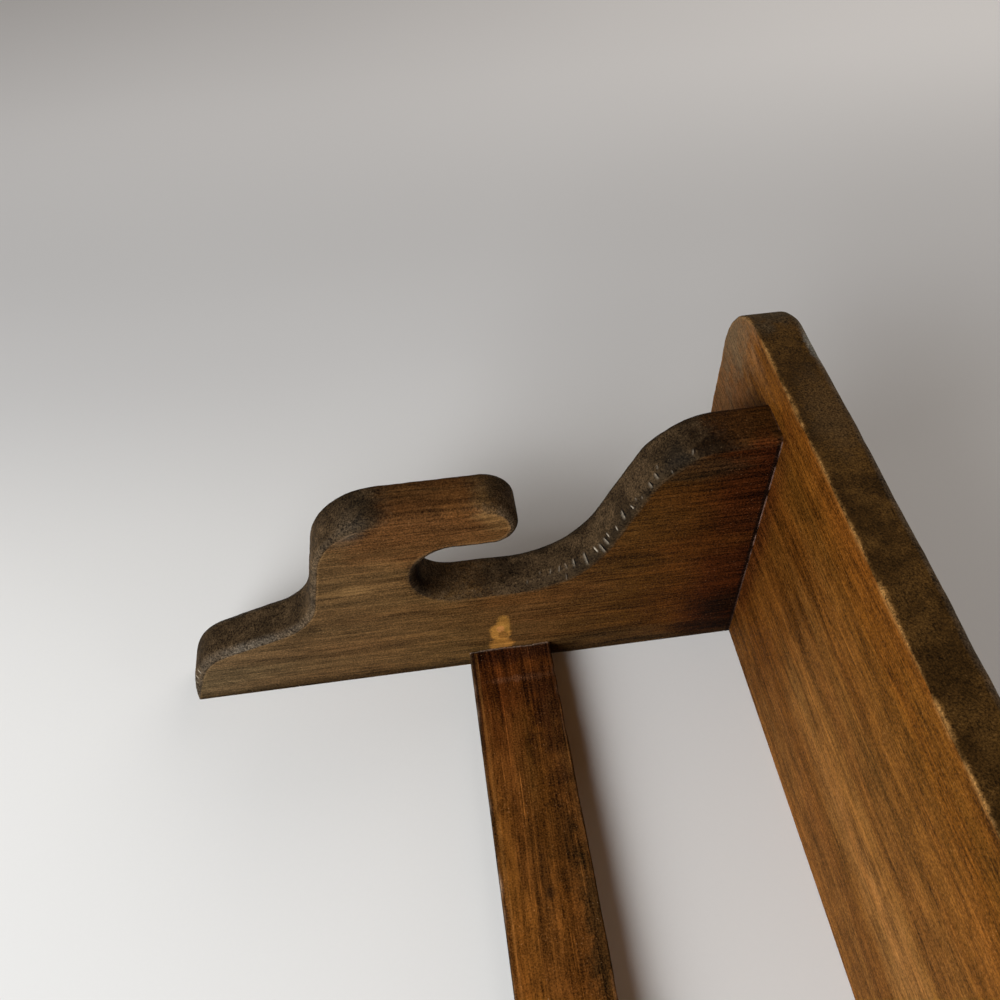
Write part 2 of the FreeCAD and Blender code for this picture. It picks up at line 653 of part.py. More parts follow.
# Every piece is checked, then written to its own file.
doc.recompute()
os.makedirs("parts", exist_ok=True)
for item in doc.Objects:
    if any(word in item.State for word in FAILED_STATES):
        raise RuntimeError("%s failed: %s" % (item.Label, item.State))
for item in doc.Objects:
    if item.TypeId == "PartDesign::Body":
        if item.Shape.isNull() or not item.Shape.isValid() or len(item.Shape.Solids) != 1:
            raise RuntimeError("%s has no single valid solid" % item.Label)
        item.Shape.exportStep("parts/%s.step" % item.Label)
        print(item.Label, round(item.Shape.Volume), item.Shape.BoundBox)
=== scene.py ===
import logging
import math
from dataclasses import dataclass, field
from enum import Enum
from typing import Any, Callable, Iterable, Sequence

import bmesh
import bpy
import numpy as np
from mathutils import Matrix, Vector
from mathutils.geometry import delaunay_2d_cdt


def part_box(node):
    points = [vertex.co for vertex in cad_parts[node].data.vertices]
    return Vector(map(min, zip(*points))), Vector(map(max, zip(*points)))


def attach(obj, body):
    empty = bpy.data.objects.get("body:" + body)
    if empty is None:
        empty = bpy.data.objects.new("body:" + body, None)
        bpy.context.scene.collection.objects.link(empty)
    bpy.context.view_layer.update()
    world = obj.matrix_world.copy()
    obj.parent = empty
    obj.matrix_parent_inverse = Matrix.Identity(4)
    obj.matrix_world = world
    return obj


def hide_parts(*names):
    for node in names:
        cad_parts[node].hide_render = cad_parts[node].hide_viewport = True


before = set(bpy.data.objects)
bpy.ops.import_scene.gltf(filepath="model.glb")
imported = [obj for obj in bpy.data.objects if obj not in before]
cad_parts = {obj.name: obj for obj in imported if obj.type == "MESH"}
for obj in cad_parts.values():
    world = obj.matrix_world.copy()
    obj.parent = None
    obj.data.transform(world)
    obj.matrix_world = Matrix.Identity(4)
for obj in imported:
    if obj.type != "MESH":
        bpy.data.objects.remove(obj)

# Wall shelf of stained pine: a plank on two scroll-cut hook brackets, tied by a flat rail.
# Row frame in metres: X along the wall, Y into the wall with the wall plane at 0, Z up.

MM = 0.001
ROOT = "root"
WELD = 0.002 * MM
INSIDE_TRIANGLES = 1
STRIP_SHARES = (0.0, 0.4, 0.7, 0.88, 0.96)
BORE_STEPS = 48
LOG = logging.getLogger("wall_shelf")

Colour = tuple[float, float, float]
Point = tuple[float, float, float]
Settings = dict[str, Any]
Inputs = dict[Any, Any]
Marks = dict[str, np.ndarray]


class Side(Enum):
    """The two ends of the shelf; the value is the direction of X towards that end."""

    LEFT = -1
    RIGHT = 1

    @property
    def word(self) -> str:
        """Name of the end as the pieces carry it."""
        return self.name.lower()


class Grain(Enum):
    """Direction of the fibres; the value is the turn that lays them along Z."""

    ALONG_Z = (0.0, 0.0, 0.0)
    ALONG_X = (0.0, -math.pi / 2, 0.0)


# Shader arithmetic


def operator(operation: str, mirrored: bool = False) -> Callable[["Term", Any], "Term"]:
    """Make the method of one arithmetic operator.

    Args:
        operation: operation of its Math node.
        mirrored: whether the term stands on the right.

    Returns:
        The method.
    """

    def apply(term: "Term", other: Any) -> "Term":
        """Add the Math node."""
        first, second = (other, term) if mirrored else (term, other)
        return term.graph.node("ShaderNodeMath", {"operation": operation}, {0: first, 1: second})

    return apply


class Term:
    """Output of a shader node that takes part in arithmetic: each operator adds a Math node."""

    def __init__(self, graph: "Graph", socket: bpy.types.NodeSocket) -> None:
        """Keep the graph and the socket."""
        self.graph = graph
        self.socket = socket

    __add__, __radd__ = operator("ADD"), operator("ADD", True)
    __sub__, __rsub__ = operator("SUBTRACT"), operator("SUBTRACT", True)
    __mul__, __rmul__ = operator("MULTIPLY"), operator("MULTIPLY", True)
    __truediv__, __rtruediv__ = operator("DIVIDE"), operator("DIVIDE", True)
    maximum = operator("MAXIMUM")


class Graph:
    """Node tree of one material or of the world."""

    def __init__(self, tree: bpy.types.NodeTree) -> None:
        """Start from an empty tree."""
        self.tree = tree
        self.tree.nodes.clear()

    def node(
        self, kind: str, settings: Settings | None = None, inputs: Inputs | None = None, output: Any = 0
    ) -> Term:
        """Add any node.

        Args:
            kind: type name of the node.
            settings: properties, set first; "stops" holds the places and colours of a ramp.
            inputs: numbers, colours or terms by socket name or index.
            output: name or index of the output to hand back.

        Returns:
            The chosen output as a term.
        """
        made = self.tree.nodes.new(kind)
        for name, value in (settings or {}).items():
            if name == "stops":
                self._set_stops(made.color_ramp.elements, value)
            else:
                setattr(made, name, value)
        for name, value in (inputs or {}).items():
            if isinstance(value, Term):
                self.tree.links.new(value.socket, made.inputs[name])
            else:
                made.inputs[name].default_value = value
        return Term(self, made.outputs[output]) if len(made.outputs) else Term(self, made.inputs[0])

    @staticmethod
    def _set_stops(elements: Any, stops: Sequence[tuple[float, Any]]) -> None:
        """Give a ramp its stops.

        Args:
            elements: elements of the ramp.
            stops: pairs of place and grey level or colour.
        """
        while len(elements) < len(stops):
            elements.new(1.0)
        for element, (place, level) in zip(elements, stops):
            element.position = place
            element.color = (*level, 1.0) if isinstance(level, tuple) else (level, level, level, 1.0)

    def place(self) -> Term:
        """Object coordinates."""
        return self.node("ShaderNodeTexCoord", output="Object")

    def attribute(self, name: str) -> Term:
        """A number that the mesh carries at each vertex."""
        return self.node("ShaderNodeAttribute", {"attribute_name": name}, output="Fac")

    def vector(self, operation: str, first: Any, second: Any) -> Term:
        """Vector arithmetic."""
        return self.node("ShaderNodeVectorMath", {"operation": operation}, {0: first, 1: second})

    def length(self, vector: Term) -> Term:
        """Length of a vector."""
        return self.node("ShaderNodeVectorMath", {"operation": "LENGTH"}, {0: vector}, "Value")

    def split(self, vector: Term) -> tuple[Term, Term, Term]:
        """The three parts of a vector."""
        cut = self.node("ShaderNodeSeparateXYZ", inputs={0: vector})
        return tuple(Term(self, socket) for socket in cut.socket.node.outputs)

    def noise(
        self, where: Term, per_metre: Point | float, detail: float = 2.0, rough: float = 0.5
    ) -> Term:
        """Cloudy noise between 0 and 1.

        Args:
            where: coordinates in metres.
            per_metre: how many features fit in a metre, along every axis or along each.
            detail: octaves of finer noise.
            rough: share of the finer octaves.

        Returns:
            The noise value.
        """
        scale = (per_metre,) * 3 if isinstance(per_metre, float) else per_metre
        stretched = self.vector("MULTIPLY", where, scale)
        inputs = {"Vector": stretched, "Scale": 1.0, "Detail": detail, "Roughness": rough}
        return self.node("ShaderNodeTexNoise", None, inputs, "Fac")

    def ramp(self, value: Term, stops: Sequence[tuple[float, Any]]) -> Term:
        """Grey level or colour that follows a value through some stops."""
        return self.node("ShaderNodeValToRGB", {"stops": stops}, {"Fac": value})

    def grey(self, value: Term) -> Term:
        """A value as a grey colour."""
        return self.node("ShaderNodeCombineColor", None, {0: value, 1: value, 2: value})

    def band(self, value: Any, low: float, high: float) -> Term:
        """Smooth step that rises, or falls if low is the larger.

        Args:
            value: number or term.
            low: where the step is 0.
            high: where it is 1.

        Returns:
            The share between 0 and 1.
        """
        first, last = (0.0, 1.0) if low < high else (1.0, 0.0)
        inputs = {0: value, 1: min(low, high), 2: max(low, high), 3: first, 4: last}
        return self.node("ShaderNodeMapRange", {"interpolation_type": "SMOOTHSTEP"}, inputs)

    def mix(self, share: Any, first: Any, second: Any, blend: str = "MIX") -> Term:
        """Mix two colours.

        Args:
            share: how much of the second colour.
            first: colour or term.
            second: colour or term.
            blend: blend mode.

        Returns:
            The mixed colour.
        """
        settings = {"data_type": "RGBA", "blend_type": blend, "clamp_factor": True}
        colours = [(*c, 1.0) if isinstance(c, tuple) else c for c in (first, second)]
        return self.node("ShaderNodeMix", settings, {0: share, 6: colours[0], 7: colours[1]}, 2)

    def bump(self, height: Term, depth: float) -> Term:
        """Surface normal that follows a height field of a given depth in metres."""
        return self.node("ShaderNodeBump", None, {"Height": height, "Distance": depth, "Strength": 1.0})

    def surface(self, inputs: Inputs) -> None:
        """Close the tree with a Principled shader."""
        shader = self.node("ShaderNodeBsdfPrincipled", None, inputs)
        self.node("ShaderNodeOutputMaterial", None, {"Surface": shader})


def new_material(name: str) -> tuple[bpy.types.Material, Graph]:
    """Make an empty node material.

    Args:
        name: name of the finish.

    Returns:
        The material and its graph.
    """
    material = bpy.data.materials.new(name)
    material.use_nodes = True
    return material, Graph(material.node_tree)


# Finishes


def tint(red: int, green: int, blue: int) -> Colour:
    """Colour written as screen levels from 0 to 255, as the linear values that shaders take."""
    levels = [value / 255 for value in (red, green, blue)]
    return tuple(v / 12.92 if v <= 0.04045 else ((v + 0.055) / 1.055) ** 2.4 for v in levels)


def tones(*rows: tuple[float, int, int, int]) -> tuple[tuple[float, Colour], ...]:
    """Stops of a tone, each written as its place in metres and its screen levels."""
    return tuple((place, tint(*levels)) for place, *levels in rows)


@dataclass(frozen=True)
class ToneRun:
    """Base tone of a board along one axis: colours at places in metres, swaying with slow noise.

    The place read is the coordinate plus the lean times the other coordinates.
    """

    lean: Point
    stops: tuple[tuple[float, Colour], ...]
    sway: float = 6 * MM

    def lay(self, graph: Graph, where: Term, along: Term) -> Term:
        """Make the base colour.

        Args:
            graph: tree of the material.
            where: object coordinates.
            along: coordinates with the grain along Z.

        Returns:
            The colour.
        """
        settings = {"operation": "DOT_PRODUCT"}
        place = graph.node("ShaderNodeVectorMath", settings, {0: where, 1: self.lean}, "Value")
        slow = graph.noise(along, (22.0, 22.0, 3.5), 3.0)
        low, high = self.stops[0][0], self.stops[-1][0]
        share = (place + (slow - 0.5) * (4 * self.sway) - low) / (high - low)
        return graph.ramp(share, [((spot - low) / (high - low), colour) for spot, colour in self.stops])


@dataclass(frozen=True)
class Patch:
    """Soft-edged place of another colour: mostly where the stain took differently, in a few a painted sheen.

    The share is 1 inside an ellipsoid about the centre and fades over its ragged rim.
    """

    centre: Point
    reach: Point
    colour: Colour
    share: float = 1.0
    ragged: float = 0.9
    soft: float = 0.4

    RIM = 0.85

    def lay(self, graph: Graph, under: Term, where: Term, fray: Term) -> Term:
        """Mix the patch over a colour.

        Args:
            graph: tree of the material.
            under: colour below.
            where: object coordinates.
            fray: noise that frays the rim.

        Returns:
            The new colour.
        """
        from_centre = graph.vector("SUBTRACT", where, self.centre)
        away = graph.length(graph.vector("DIVIDE", from_centre, self.reach))
        frayed = away + (fray - 0.5) * (2 * self.ragged)
        inside = graph.band(frayed, self.RIM + self.soft, self.RIM - self.soft)
        return graph.mix(inside * self.share, under, self.colour)


def patches_on(axis: int, level: float, depth: float, rows: Iterable[tuple]) -> tuple[Patch, ...]:
    """Place patches on a flat face.

    Args:
        axis: axis that the face stands across.
        level: place of the face along it.
        depth: reach of the patches along it.
        rows: for each patch, its middle and its reach along the two other axes, its screen levels, and
            then its share, raggedness and softness as far as they aren't the usual ones.

    Returns:
        The patches in the same order.
    """
    made = []
    for first, second, wide, tall, levels, *rest in rows:
        centre, reach = [first, second], [wide, tall]
        centre.insert(axis, level)
        reach.insert(axis, depth)
        made.append(Patch(tuple(centre), tuple(reach), tint(*levels), *rest))
    return tuple(made)


@dataclass(frozen=True)
class JointShadowAndGlue:
    """Painted shadow of the joint's gap: a thin dark line below a level, with a broken bead of dried adhesive
    right at it.
    """

    level: float
    dark: Colour
    bead: Colour

    DARK_FROM_LEVEL = (-2.2 * MM, -1.3 * MM)
    BEAD_FROM_LEVEL = (-0.6 * MM, -0.4 * MM)
    BEAD_FROM_WALL = (-20 * MM, -65 * MM)

    def lay(self, graph: Graph, under: Term, where: Term) -> Term:
        """Mix the line over a colour.

        Args:
            graph: tree of the material.
            under: colour below.
            where: object coordinates.

        Returns:
            The new colour.
        """
        _, depth, height = graph.split(where)
        line = graph.band(height, *(self.level + rise for rise in self.DARK_FROM_LEVEL))
        # The dark line is painted shadow of the gap under the shelf.
        tone = graph.mix(line * 0.9, under, self.dark)
        broken = graph.band(graph.noise(where, 130.0, 3.0, 0.7), 0.38, 0.58)
        bead = graph.band(height, *(self.level + rise for rise in self.BEAD_FROM_LEVEL)) * broken
        shown = graph.band(depth, *self.BEAD_FROM_WALL) * 0.4 + 0.08
        return graph.mix(bead * shown, tone, self.bead)


@dataclass(frozen=True)
class StainedWood:
    """Walnut stain on pine: soft streaks, growth rings, fibres, dark mottled end grain and torn spots;
    painted sheen on rounds, painted shadow by tears.

    Rings are shells about a pith line along the grain: the distance from it, warped by slow noise and
    divided by the ring pitch, sets the place within a ring. Lengths are in metres.
    """

    name: str
    grain: Grain
    pith: Point
    tone: ToneRun
    edge: Colour
    worn: Colour = tint(120, 96, 64)
    bare: Colour = tint(156, 145, 128)
    # Grey of the painted sheen on rounded arrises.
    sheen_colour: Colour = tint(114, 108, 97)
    soot: Colour = tint(22, 18, 12)
    fleck: Colour = tint(176, 146, 108)
    streak_share: float = 0.8
    line_share: float = 0.4
    ring_pitch: float = 4.2 * MM
    ring_share: float = 0.35
    dash_share: float = 0.22
    blotch_share: float = 0.3
    smear_share: float = 0.25
    smear_per_metre: Point = (100.0, 100.0, 32.0)
    fleck_share: float = 0.2
    wear_share: float = 0.18
    crisp: float = 1.0
    speckle: float = 1.0
    warp: float = 8 * MM
    gloss: float = 0.02
    patches: tuple[Patch, ...] = ()
    stains_and_sheens: tuple[Patch, ...] = ()
    joint_shadow_and_glue: JointShadowAndGlue | None = None

    CLOUD = (90.0, 4.0, 0.6)
    MOTTLE = (240.0, 4.0, 0.65)
    PORE = (800.0, 3.0, 0.75)
    GRIT = (1500.0, 2.0, 0.7)
    PIT_SHADOW = tint(14, 11, 8)
    DARKEST = 0.12
    RELIEF = 0.2 * MM

    def material(self) -> bpy.types.Material:
        """Build the node material.

        Returns:
            The finished material.
        """
        material, graph = new_material(self.name)
        where = graph.place()
        turned = {"Vector": where, "Rotation": self.grain.value, "Location": self.pith}
        along = graph.node("ShaderNodeMapping", {"vector_type": "POINT"}, turned)
        flow = self._flow(graph, along)
        noises = (self.CLOUD, self.MOTTLE, self.PORE, self.GRIT)
        cloud, mottle, pore, grit = (graph.noise(where, *noise) for noise in noises)
        fibre = graph.noise(flow, (1100.0, 1100.0, 36.0), 3.0, 0.65)
        rings = self._rings(graph, flow)
        blot = cloud * 0.7 + mottle * 0.6 + pore * 0.15 - 0.225
        bleed = graph.noise(flow, (210.0, 210.0, 26.0), 4.0, 0.65) * 0.8
        bleed = bleed + cloud * 0.3 + pore * 0.3 - 0.2
        tone = self._face(graph, where, flow, rings, bleed)
        if self.joint_shadow_and_glue:
            tone = self.joint_shadow_and_glue.lay(graph, tone, where)

        ragged = (mottle - 0.5) * 0.5 + (pore - 0.5) * 0.8
        cut = graph.band(graph.attribute("cut") + ragged, 0.15, 0.75)
        clouded = graph.grey(graph.band(cloud, 0.38, 0.62) * 0.7 + 0.65)
        sawn_tone = graph.mix(1.0, self.edge, clouded, "MULTIPLY")
        tone = graph.mix(cut * 0.96, tone, sawn_tone)
        # Worn colour along the crests.
        wear_and_sheen = graph.band(cloud, 0.3, 0.65) * self.wear_share + graph.band(pore, 0.6, 0.74) * 0.3
        tone = graph.mix(graph.attribute("crest") * wear_and_sheen, tone, self.worn)
        # Negative marks lay soot on the rounds; positive ones paint a grey sheen, a painted highlight, made a
        # little glossier by the coat.
        signed_sheen = graph.attribute("scuffed")
        breakup = graph.band(pore * 0.5 + grit * 0.5, 0.36, 0.64)
        tone = graph.mix((signed_sheen * (breakup * -0.9 - 0.3)).maximum(0.0), tone, self.soot)
        scuffed = signed_sheen.maximum(0.0) * (breakup * 0.4 + 0.55)
        tone = graph.mix(scuffed, tone, self.sheen_colour)
        for patch in self.stains_and_sheens:
            tone = patch.lay(graph, tone, where, blot)

        level = graph.node("ShaderNodeRGBToBW", None, {"Color": tone})
        lines = (graph.band(fibre, 0.28, 0.72) - 0.5) * 0.5
        lines = lines + (graph.band(grit, 0.25, 0.75) - 0.5) * 0.8
        planed = 1.0 + lines * (0.3 + 0.055 / (level + 0.02)) * self.crisp
        pits = graph.band(mottle, 0.28, 0.72) * 0.5 + graph.band(pore, 0.35, 0.65) * 0.5
        sawn = pits + (graph.band(grit, 0.30, 0.74) - 0.5) * (1.5 * self.speckle) + 0.565
        light = (planed + (sawn - planed) * cut).maximum(self.DARKEST)
        tone = graph.mix(1.0, tone, graph.grey(light), "MULTIPLY")
        tone = graph.mix(graph.band(grit, 0.67, 0.76) * self.fleck_share, tone, self.fleck)
        # Negative torn marks paint shadow in slits and beside gouges; positive ones show pale torn fibres.
        torn = graph.attribute("torn")
        tone = graph.mix((torn * -0.9).maximum(0.0), tone, self.PIT_SHADOW)
        tone = graph.mix(torn.maximum(0.0) * graph.band(grit, 0.2, 0.5) * 0.85, tone, self.bare)

        height = fibre * 0.3 + rings * 0.12 + grit * 0.15 + (pore * 0.8 + mottle * 0.4) * cut
        graph.surface(
            {
                "Base Color": tone,
                "Roughness": 0.66 - scuffed * 0.2 + (fibre - 0.5) * 0.2,
                "Specular IOR Level": self.gloss,
                "Coat Weight": scuffed * 0.1,
                "Coat Roughness": 0.5,
                "Normal": graph.bump(height, self.RELIEF),
            }
        )
        return material

    def _flow(self, graph: Graph, along: Term) -> Term:
        """Push the coordinates aside by slow noise, so that the grain wanders.

        Args:
            graph: tree of the material.
            along: coordinates with the grain along Z.

        Returns:
            The wandering coordinates.
        """
        slow = graph.vector("MULTIPLY", along, (14.0, 14.0, 3.2))
        inputs = {"Vector": slow, "Scale": 1.0, "Detail": 3.0, "Roughness": 0.45}
        sway = graph.node("ShaderNodeTexNoise", None, inputs, "Color")
        aside = graph.vector("SUBTRACT", sway, (0.5, 0.5, 0.5))
        push = graph.vector("MULTIPLY", aside, (2 * self.warp, 2 * self.warp, 0.0))
        return graph.vector("ADD", along, push)

    def _face(self, graph: Graph, where: Term, flow: Term, rings: Term, fray: Term) -> Term:
        """Colour the planed faces: base tone, patches and hue, times streaks, smears, rings and dashes.

        Args:
            graph: tree of the material.
            where: object coordinates.
            flow: coordinates along the wandering grain.
            rings: grey level of the growth rings.
            fray: noise that frays the patches.

        Returns:
            The colour.
        """
        tone = self.tone.lay(graph, where, flow)
        for patch in self.patches:
            tone = patch.lay(graph, tone, where, fray)
        drift = graph.noise(flow, (55.0, 55.0, 10.0), 3.0, 0.6)
        hue = graph.ramp(drift, ((0.3, (0.95, 1.02, 1.04)), (0.7, (1.07, 0.99, 0.94))))
        tone = graph.mix(1.0, tone, hue, "MULTIPLY")
        smear = graph.noise(flow, self.smear_per_metre, 4.0, 0.65)
        blotch = graph.noise(flow, (260.0, 260.0, 95.0), 3.0, 0.6)
        streak = graph.noise(flow, (165.0, 165.0, 9.0), 4.0, 0.62)
        thin = graph.noise(flow, (700.0, 700.0, 6.0), 3.0, 0.6)
        dash = graph.noise(flow, (680.0, 680.0, 60.0), 2.0)
        light = 1.0 - graph.band(streak, 0.50, 0.74) * (0.55 * self.streak_share)
        light = light + graph.band(streak, 0.48, 0.26) * (0.4 * self.streak_share)
        light = light * (1.0 - graph.band(smear, 0.49, 0.65) * self.smear_share)
        light = light * (1.0 - rings * (0.5 * self.ring_share))
        light = light * (1.0 + (graph.band(blotch, 0.3, 0.7) - 0.5) * self.blotch_share)
        light = light * (1.0 + graph.band(thin, 0.57, 0.66) * (0.6 * self.line_share))
        light = light * (1.0 - graph.band(dash, 0.57, 0.70) * self.dash_share)
        return graph.mix(1.0, tone, graph.grey(light), "MULTIPLY")

    def _rings(self, graph: Graph, flow: Term) -> Term:
        """Make growth rings: the level rises through a ring and drops at its end.

        Args:
            graph: tree of the material.
            flow: coordinates along the wandering grain.

        Returns:
            The grey level.
        """
        phase = graph.length(graph.vector("MULTIPLY", flow, (1.0, 1.0, 0.0))) / self.ring_pitch
        uneven = graph.noise(flow, (60.0, 60.0, 1.5), 2.0)
        place = graph.node("ShaderNodeMath", {"operation": "FRACT"}, {0: phase + uneven * 1.6})
        return graph.ramp(place, ((0.0, 0.1), (0.45, 0.18), (0.8, 0.75), (0.93, 1.0), (1.0, 0.1)))


@dataclass(frozen=True)
class Steel:
    """Plated or bare steel with fine scratches and dull stains."""

    name: str
    bright: Colour
    dull: Colour
    rough: float

    def material(self) -> bpy.types.Material:
        """Build the node material.

        Returns:
            The finished material.
        """
        material, graph = new_material(self.name)
        where = graph.place()
        stain = graph.band(graph.noise(where, 240.0, 4.0, 0.6), 0.4, 0.7)
        scratch = graph.noise(where, (3000.0, 3000.0, 90.0), 2.0)
        graph.surface(
            {
                "Base Color": graph.mix(stain, self.bright, self.dull),
                "Metallic": 1.0,
                "Roughness": stain * 0.18 + scratch * 0.12 + self.rough,
                "Normal": graph.bump(scratch + stain * 0.4, 0.03 * MM),
            }
        )
        return material


# Surfaces


def ripple(travel: np.ndarray, seed: int, longest: float, shortest: float, waves: int = 9) -> np.ndarray:
    """Uneven wave along a path: a sum of sines of seeded lengths and phases, longer ones stronger.

    Args:
        travel: distances along the path.
        seed: seed of the draw.
        longest: longest wave.
        shortest: shortest wave.
        waves: how many sines.

    Returns:
        Values mostly between -1 and 1, one for each distance.
    """
    draw = np.random.default_rng(seed)
    lengths = np.geomspace(longest, shortest, waves) * draw.uniform(0.8, 1.25, waves)
    phases = draw.uniform(0.0, 2 * np.pi, waves)
    weights = np.sqrt(lengths / lengths.max())
    sines = np.sin(2 * np.pi * travel[..., None] / lengths + phases) * weights
    return sines.sum(-1) / np.sqrt((weights**2).sum())


def smooth(value: np.ndarray, low: float, high: float) -> np.ndarray:
    """Smooth step of an array.

    Args:
        value: numbers.
        low: where the step is 0.
        high: where it is 1.

    Returns:
        Shares between 0 and 1.
    """
    share = np.clip((value - low) / (high - low), 0.0, 1.0)
    return share * share * (3 - 2 * share)


def calm_ends(travel: np.ndarray, zone: float) -> np.ndarray:
    """Share that rises from 0 to 1 over a zone at the start of a path, and falls so at its end."""
    return smooth(travel, 0.0, zone) * smooth(travel[-1] - travel, 0.0, zone)


def bell(place: np.ndarray, width: float | np.ndarray, power: int = 2) -> np.ndarray:
    """Bell curve: the exponential of minus a power of place over width."""
    return np.exp(-((place / width) ** power))


@dataclass
class Trail:
    """Path in a plane made of straight and round stretches; its outer side is on the left of travel."""

    step: float
    points: list[np.ndarray] = field(default_factory=list)
    normals: list[np.ndarray] = field(default_factory=list)
    starts: dict[str, int] = field(default_factory=dict)

    def line(
        self, start: Sequence[float], end: Sequence[float], name: str = "", step: float = 0.0
    ) -> None:
        """Add a straight stretch: start plus a share of the way to the end.

        Args:
            start: first point.
            end: last point, left to the next stretch.
            name: name of the stretch, if it has one.
            step: longest step along it, if not the usual one.
        """
        start, end = np.asarray(start), np.asarray(end)
        way = end - start
        share = self._begin(np.linalg.norm(way), name, step)
        self.points.append(start + share[:, None] * way)
        side = np.array([-way[1], way[0]]) / np.linalg.norm(way)
        self.normals.append(np.repeat(side[None], len(share), axis=0))

    def arc(
        self,
        centre: Sequence[float],
        radius: float,
        first: float,
        last: float,
        name: str = "",
        step: float = 0.0,
    ) -> None:
        """Add a round stretch: centre plus radius times the direction of an angle.

        Args:
            centre: centre of the round.
            radius: its radius.
            first: angle of the first point in degrees.
            last: angle of the last point, left to the next stretch.
            name: name of the stretch, if it has one.
            step: longest step along it, if not the usual one.
        """
        turn = math.radians(last - first)
        angle = math.radians(first) + turn * self._begin(abs(turn) * radius, name, step)
        ray = np.stack([np.cos(angle), np.sin(angle)], axis=1)
        self.points.append(np.asarray(centre) + radius * ray)
        self.normals.append(-np.sign(turn) * ray)

    def _begin(self, length: float, name: str, step: float) -> np.ndarray:
        """Note where a named stretch begins and divide it.

        Args:
            length: length of the stretch.
            name: its name, or none.
            step: longest step along it, or 0 for the usual one.

        Returns:
            Even shares of the stretch, without its end.
        """
        if name:
            self.starts[name] = sum(len(stretch) for stretch in self.points)
        count = max(1, math.ceil(length / (step or self.step)))
        return np.arange(count) / count

    def sampled(self, end: Sequence[float]) -> tuple[np.ndarray, np.ndarray, np.ndarray]:
        """Close the path at its end.

        Args:
            end: last point.

        Returns:
            Points, outer normals and distances along the path.
        """
        points = np.concatenate([*self.points, np.asarray(end)[None]])
        normals = np.concatenate([*self.normals, self.normals[-1][-1:]])
        gaps = np.linalg.norm(np.diff(points, axis=0), axis=1)
        return points, normals, np.concatenate([[0.0], np.cumsum(gaps)])


